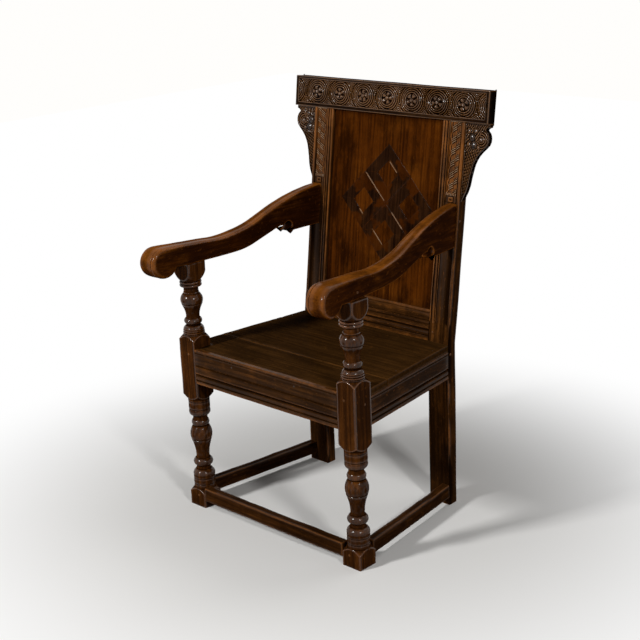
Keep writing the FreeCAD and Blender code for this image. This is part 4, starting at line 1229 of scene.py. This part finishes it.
def arm_outline():
    """The arm's side outline with, at each point, how far its arrises are rounded."""
    knob = round_about(knob_centre, knob_radius, -25.0, -270.0, 44)
    top_start = knob[-1]
    top = through(
        [top_start] + [arm_place(*pair) for pair in arm_top_shares],
        top_start - Vector((50 * mm, 0)), arm_place(1.2, 1.03), 9,
    )
    tail = Vector((top[-1].x, arm_under + arm_rise * arm_tail_share))
    notch_centre = arm_place(*notch_shares)
    notch = round_about(notch_centre, notch_radius, -80.0, 155.0, 20)
    under_end = arm_place(*arm_under_shares[-1])
    under = through(
        [notch[-1]] + [arm_place(*pair) for pair in arm_under_shares],
        notch[-1] + Vector((6 * mm, 5 * mm)), under_end - Vector((40 * mm, 0)), 6,
    )
    flat = straight(under_end, (post_front, arm_under), 8 * mm)
    stretches = (
        (knob[:-1], 6.5), (top, 7.5), (straight(top[-1], tail, 12 * mm), 0.8),
        (straight(tail, notch[0], 9 * mm), 2.0), (notch[1:-1], 1.6), (under + flat, 3.0),
        (straight(flat[-1], knob[0], 6 * mm)[:-1], 4.0),
    )
    return [(point, rounding * mm) for stretch, rounding in stretches for point in stretch]


def arm_mesh(seed):
    """The side outline drawn across the arm's width in steps, then narrowed to the back."""
    bm = bmesh.new()
    outline = arm_outline()
    points = [point for point, _ in outline]
    count = len(points)
    softness = [
        sum(outline[(k + j) % count][1] for j in range(-3, 4)) / 7 for k in range(count)
    ]
    inward = []
    for k in range(count):
        along = points[(k + 1) % count] - points[k - 1]
        inward.append(Vector((along.y, -along.x)).normalized())
    # The outline is drawn across the arm in steps: (share of the width, share of the rounding
    # inwards, share of the rounding down, further in, depth of the scratched line).
    quarter = [math.pi / 2 * k / 6 for k in range(7)]
    steps = [(0, 1 - math.cos(a), 1 - math.sin(a), 0, 0) for a in quarter]
    steps += [(0.3, 0, 0, 0, -0.3 * mm), (0.5, 0, 0, 0, -0.3 * mm)]
    steps += [
        (1, 0, 0, -inset * mm, depth * mm)
        for inset, depth in ((11.4, 0.0), (10.2, 0.2), (9.5, 1.1), (8.8, 0.0), (8.2, -0.3))
    ]
    steps += [(1, math.cos(a) - 1, 1 - math.sin(a), 0, 0) for a in reversed(quarter)]
    turn = bm.verts.layers.int.new("turn")
    moved = [bm.verts.new((0, point.x, point.y)) for point in points]
    for k, vertex in enumerate(moved):
        vertex[turn] = k
    rim = [bm.edges.new(pair) for pair in zip(moved, moved[1:] + moved[:1])]
    sides = bmesh.ops.contextual_create(bm, geom=rim)["faces"]
    for number, (share, run_in, run_down, further, line) in enumerate(steps):
        if number:
            moved, rim = draw_out(bm, rim)
        for vertex in moved:
            k = vertex[turn]
            sink = softness[k] * run_down + (line if softness[k] > 6 * mm else 0)
            at = points[k] + inward[k] * sink
            across = arm_front_wide * share + softness[k] * run_in + further
            vertex.co = (across, at.x, at.y)
    sides += bmesh.ops.contextual_create(bm, geom=rim)["faces"]
    bmesh.ops.recalc_face_normals(bm, faces=bm.faces[:])
    for inset in (2.5 * mm, 2.5 * mm):
        bmesh.ops.inset_region(bm, faces=sides, thickness=inset, use_even_offset=True)
    uneven(bm, 0.9 * mm, 9.0, seed)
    uneven(bm, 0.3 * mm, 60.0, seed + 4)
    for vertex in bm.verts:
        y = vertex.co.y
        wide = arm_rear_wide + (arm_front_wide - arm_rear_wide) * (stile_front - y) / side_run
        outer = side_line(y) - 3 * mm * (stile_front - y) / side_run
        vertex.co.x = outer - vertex.co.x / arm_front_wide * wide
    # The tail is cut to the lean of the stile's face.
    bmesh.ops.bisect_plane(
        bm, geom=bm.verts[:] + bm.edges[:] + bm.faces[:], plane_co=knee,
        plane_no=lean @ Vector((0, 1, 0)), clear_outer=True,
    )
    open_edges = [edge for edge in bm.edges if edge.is_boundary]
    bmesh.ops.contextual_create(bm, geom=open_edges)
    return bm


def hand_wear_and_painted_light(at, facing):
    """Hands have rubbed the knob all round and the upper side bright, the upper side partly as painted light
    from above; the side and lower faces get painted shade.
    """
    up = facing[:, 2]
    knob = np.clip((post_front - at[:, 1]) / (60 * mm), 0, 1) * np.clip(1.2 + up, 0, 1)
    return 0.60 * np.clip(up, 0, 1) ** 2 + 0.36 * knob, 0.42 * np.clip(0.7 - up, 0, 1) * (1 - knob)


for side, hand in hands:
    finish_piece(
        arm_mesh(101.0 + 4 * hand), "swept_arm_" + side, oak_arm, ["arm_" + side],
        grain="y", seed=45.0 + hand, place=on_side(hand, upright), crease=45.0, handled=hand_wear_and_painted_light,
    )

# Riven oak pegs lock the joints: one in each seat rail and stretcher joint, two in each
# joint of the lower back rail, one in each tenon of the crest and of the arms. They are
# shaved to eight rough sides, driven home and left a little proud.

peg_radius = 3.5 * mm
peg_proud = 0.7 * mm
arm_outer = side_line(post_centre[1]) - 2.8 * mm
oak_peg = oak(
    "peg oak", deep=(0.013, 0.0050, 0.0018), body=(0.044, 0.0155, 0.0042),
    worn_and_lit=(0.16, 0.058, 0.014), gloss=0.36, wear=0.8,
)


def pegs(runs, seed, radius=peg_radius):
    """Pegs from their points to their heads, in both halves of the chair."""
    bm = bmesh.new()
    heads = []
    for number, (point, head) in enumerate(runs):
        point, head = Vector(point), Vector(head)
        for hand in (1, -1):
            side = Matrix.Diagonal((hand, 1, 1, 1))
            turned = Matrix.Rotation(seed + 2.3 * number + hand, 4, "Z")
            aim = (head - point).to_track_quat("Z", "Y").to_matrix().to_4x4()
            bmesh.ops.create_cone(
                bm, cap_ends=True, segments=8, radius1=radius * 0.96, radius2=radius,
                depth=(head - point).length,
                matrix=side @ Matrix.Translation((point + head) / 2) @ aim @ turned,
            )
            heads.append(side @ head)
    rims = [
        edge for edge in bm.edges
        if any(all((v.co - head).length < 1.3 * radius for v in edge.verts) for head in heads)
    ]
    bmesh.ops.bevel(bm, geom=rims, offset=0.28 * radius, segments=2, affect="EDGES", profile=0.5)
    uneven(bm, 0.3 * mm, 300.0, seed)
    return bm


def run_along(axis, point, head, *others):
    """The two ends of a peg, which differ along one axis only."""
    return [[*others[:axis], end, *others[axis:]] for end in (point, head)]


back_peg_x = stile_inner + 12.5 * mm
front_peg = (post_inner + 22 * mm, 405 * mm)
side_peg = (post_back - 22 * mm, 393.8 * mm)
stretcher_middle = (stretcher_low + stretcher_high) / 2
into_front = (1, post_front + 29 * mm, post_front - peg_proud)
into_side = (0, front_half - 29 * mm, front_half + peg_proud)
into_lower = (1, stile_front + 23 * mm, stile_front - peg_proud)
for name, node, seed, place, runs in (
    ("post_pegs", "front_post_pegs", 1.0, upright, [
        run_along(*into_front, *front_peg),
        run_along(*into_side, *side_peg),
    ]),
    ("low_pegs", "stretcher_pegs", 2.0, upright, [
        run_along(*into_front, front_peg[0], stretcher_middle - 7 * mm),
        run_along(*into_side, side_peg[0], stretcher_middle + 7 * mm),
    ]),
    ("stile_side_pegs", "side_rail_pegs", 3.0, upright, [
        run_along(0, stile_outer - 27 * mm, stile_outer + peg_proud, stile_front + 8.5 * mm, side_peg[1]),
    ]),
    ("rear_pegs", "rear_rail_pegs", 4.0, upright, [run_along(
        1, stile_front + 6 * mm, stile_front + stile_depth + peg_proud, back_peg_x, 376.5 * mm,
    )]),
    ("lower_pegs", "lower_back_rail_pegs", 5.0, leaning, [
        run_along(*into_lower, back_peg_x, seat_top + rise) for rise in (20.75 * mm, 46.25 * mm)
    ]),
    ("cresting_pegs", "crest_pegs", 6.0, leaning, [run_along(
        1, stile_front + 4 * mm, crest_front + crest_thick + peg_proud,
        stile_outer - 31 * mm, crest_low + 21 * mm,
    )]),
    ("arm_front_pegs", "arm_pegs", 7.0, upright, [run_along(
        0, post_centre[0] - 21 * mm, arm_outer + peg_proud, post_centre[1], arm_under + 16 * mm,
    )]),
    ("arm_rear_pegs", "arm_pegs", 8.0, leaning, [run_along(
        0, stile_outer - 25 * mm, stile_outer + peg_proud, stile_front + 9 * mm, seat_top + 296 * mm,
    )]),
):
    finish_piece(pegs(runs, seed), name, oak_peg, [node], grain="y", seed=50 + seed, place=place)

# Hand-forged iron nails hold the seat boards to the side rails and the ear brackets to the
# stiles. One more on each side, added later, stands in the face of the front rail.

iron = Finish(bpy.data.materials.new("rusted iron"))
crust = iron.mottle(iron.attribute("board", "Vector"), 900.0, 3.0, 0.6)
iron.feed(iron.shader.inputs["Base Color"], iron.blend(
    crust.between(0.4, 0.65), (0.012, 0.010, 0.009), (0.055, 0.026, 0.014),
))
iron.feed(iron.shader.inputs["Roughness"], 0.42 + crust * 0.3)
iron.feed(iron.shader.inputs["Normal"], iron.bump(crust, 0.0004, 0.7))
iron.shader.inputs["Metallic"].default_value = 0.55
nail_rows = [
    seat_front + 71.9 * mm,
    board_joint + (seat_back - board_joint) * 0.2,
    board_joint + (seat_back - board_joint) * 0.8,
]
nail_lines = [(side_line(y) - 13 * mm, y) for y in nail_rows]
ear_nail_runs = [
    (stile_outer + ear_reach * share_at(ear_outline_shares, drop) + 0.4 * mm, crest_low - ear_drop * drop)
    for drop in (0.45, 0.62)
]
for name, nodes, seed, place, runs in (
    ("seat_nail_heads", ["seat_nails"], 1.0, upright, [
        run_along(2, seat_top - 6 * mm, seat_top - 0.6 * mm, x, y) for x, y in nail_lines
    ]),
    ("ear_nail_heads", ["ear_nails"], 2.0, leaning, [
        run_along(0, x - 5 * mm, x, ear_front + ear_thick / 2, z) for x, z in ear_nail_runs
    ]),
    ("rail_nail_heads", [], 3.0, upright, [
        run_along(1, post_front + 5 * mm, post_front - 0.3 * mm, 102 * mm, 403 * mm),
    ]),
):
    finish_piece(
        pegs(runs, seed, radius=2.6 * mm), name, iron.owner, nodes,
        grain="y", seed=60 + seed, place=place,
    )

# The studio: a plain pale floor, a small soft lamp to each side of the camera, a wide weak
# one above and behind the chair, and an even pale surround that shows as white behind it.

floor_half = 6.0


def seen_directly(finish):
    """1 where a ray comes from the camera, a mirror or clear matter, and 0 elsewhere."""
    rays = finish.add("ShaderNodeLightPath", {}, {})
    seen = Value(finish, rays.outputs["Is Camera Ray"])
    for kind in ("Is Glossy Ray", "Is Transmission Ray"):
        seen = seen.maths("MAXIMUM", seen, rays.outputs[kind])
    return seen


floor_bm = bmesh.new()
bmesh.ops.create_grid(floor_bm, x_segments=1, y_segments=1, size=floor_half)
floor_mesh = bpy.data.meshes.new("floor")
floor_bm.to_mesh(floor_mesh)
floor_bm.free()
floor = bpy.data.objects.new("floor", floor_mesh)
bpy.context.scene.collection.objects.link(floor)
floor_finish = Finish(bpy.data.materials.new("pale floor"))
floor_finish.shader.inputs["Roughness"].default_value = 0.8
floor_finish.shader.inputs["Specular IOR Level"].default_value = 0.1
seen = seen_directly(floor_finish)
floor_finish.feed(floor_finish.shader.inputs["Base Color"], floor_finish.blend(
    seen, (0.30, 0.28, 0.25), (0.80, 0.79, 0.77),
))
spot = floor_finish.add("ShaderNodeTexCoord", {}, {}).outputs["Object"]
distance = floor_finish.add("ShaderNodeVectorMath", {"operation": "LENGTH"}, {0: spot})
away = Value(floor_finish, distance.outputs["Value"]).between(0.35, 1.25)
white = floor_finish.add("ShaderNodeEmission", {}, {"Color": (1, 1, 1), "Strength": 1.0})
covered = floor_finish.add("ShaderNodeMixShader", {}, {
    0: away * seen, 1: floor_finish.shader.outputs[0], 2: white.outputs[0],
})
floor_finish.feed(floor_finish.tree.nodes["Material Output"].inputs["Surface"], covered.outputs[0])
floor_mesh.materials.append(floor_finish.owner)


def lamp(name, place, aim, width, height, watts):
    """A soft rectangular lamp, turned to the place that it lights."""
    light = bpy.data.lights.new(name, "AREA")
    light.shape = "RECTANGLE"
    light.size = width
    light.size_y = height
    light.energy = watts
    holder = bpy.data.objects.new(name, light)
    holder.location = place
    holder.rotation_euler = (Vector(aim) - Vector(place)).to_track_quat("-Z", "Y").to_euler()
    bpy.context.scene.collection.objects.link(holder)


lamp("left_softbox", (-0.9, -3.0, 2.3), (0, 0, 0.5), 0.40, 0.46, 98)
lamp("right_softbox", (3.1, -1.3, 2.3), (0, 0, 0.5), 0.34, 0.38, 50)
lamp("top_softbox", (0.6, 1.6, 2.9), (0, 0, 0.5), 1.6, 1.6, 14)

surround = Finish(bpy.data.worlds.new("surround"), "Background")
bpy.context.scene.world = surround.owner
strength = surround.add("ShaderNodeMapRange", {}, {
    "Value": seen_directly(surround), "To Min": 0.10, "To Max": 1.0,
})
surround.shader.inputs["Color"].default_value = (1.0, 0.99, 0.97, 1.0)
surround.feed(surround.shader.inputs["Strength"], strength.outputs[0])

# The camera stands to the right of the chair's front, above the arms, and looks down at it
# through a rather long lens, tilted a little to one side.

camera_place = Vector((2.0520, -2.1451, 1.4490))
camera_yaw = math.radians(43.71)
camera_pitch = math.radians(17.938)
camera_roll = math.radians(-2.403)
sensor_width = 36.0
focal_share = 1310.8 / 640

forward = Vector((
    -math.sin(camera_yaw) * math.cos(camera_pitch),
    math.cos(camera_yaw) * math.cos(camera_pitch),
    -math.sin(camera_pitch),
))
level_right = Vector((math.cos(camera_yaw), math.sin(camera_yaw), 0))
level_up = level_right.cross(forward)
right = math.cos(camera_roll) * level_right + math.sin(camera_roll) * level_up
up = math.cos(camera_roll) * level_up - math.sin(camera_roll) * level_right
camera_data = bpy.data.cameras.new("camera")
camera_data.sensor_width = sensor_width
camera_data.lens = sensor_width * focal_share
camera = bpy.data.objects.new("camera", camera_data)
turned_to_chair = Matrix((right, up, -forward)).transposed().to_4x4()
camera.matrix_world = Matrix.Translation(camera_place) @ turned_to_chair
bpy.context.scene.collection.objects.link(camera)
bpy.context.scene.camera = camera
bpy.context.scene.view_settings.view_transform = "Standard"
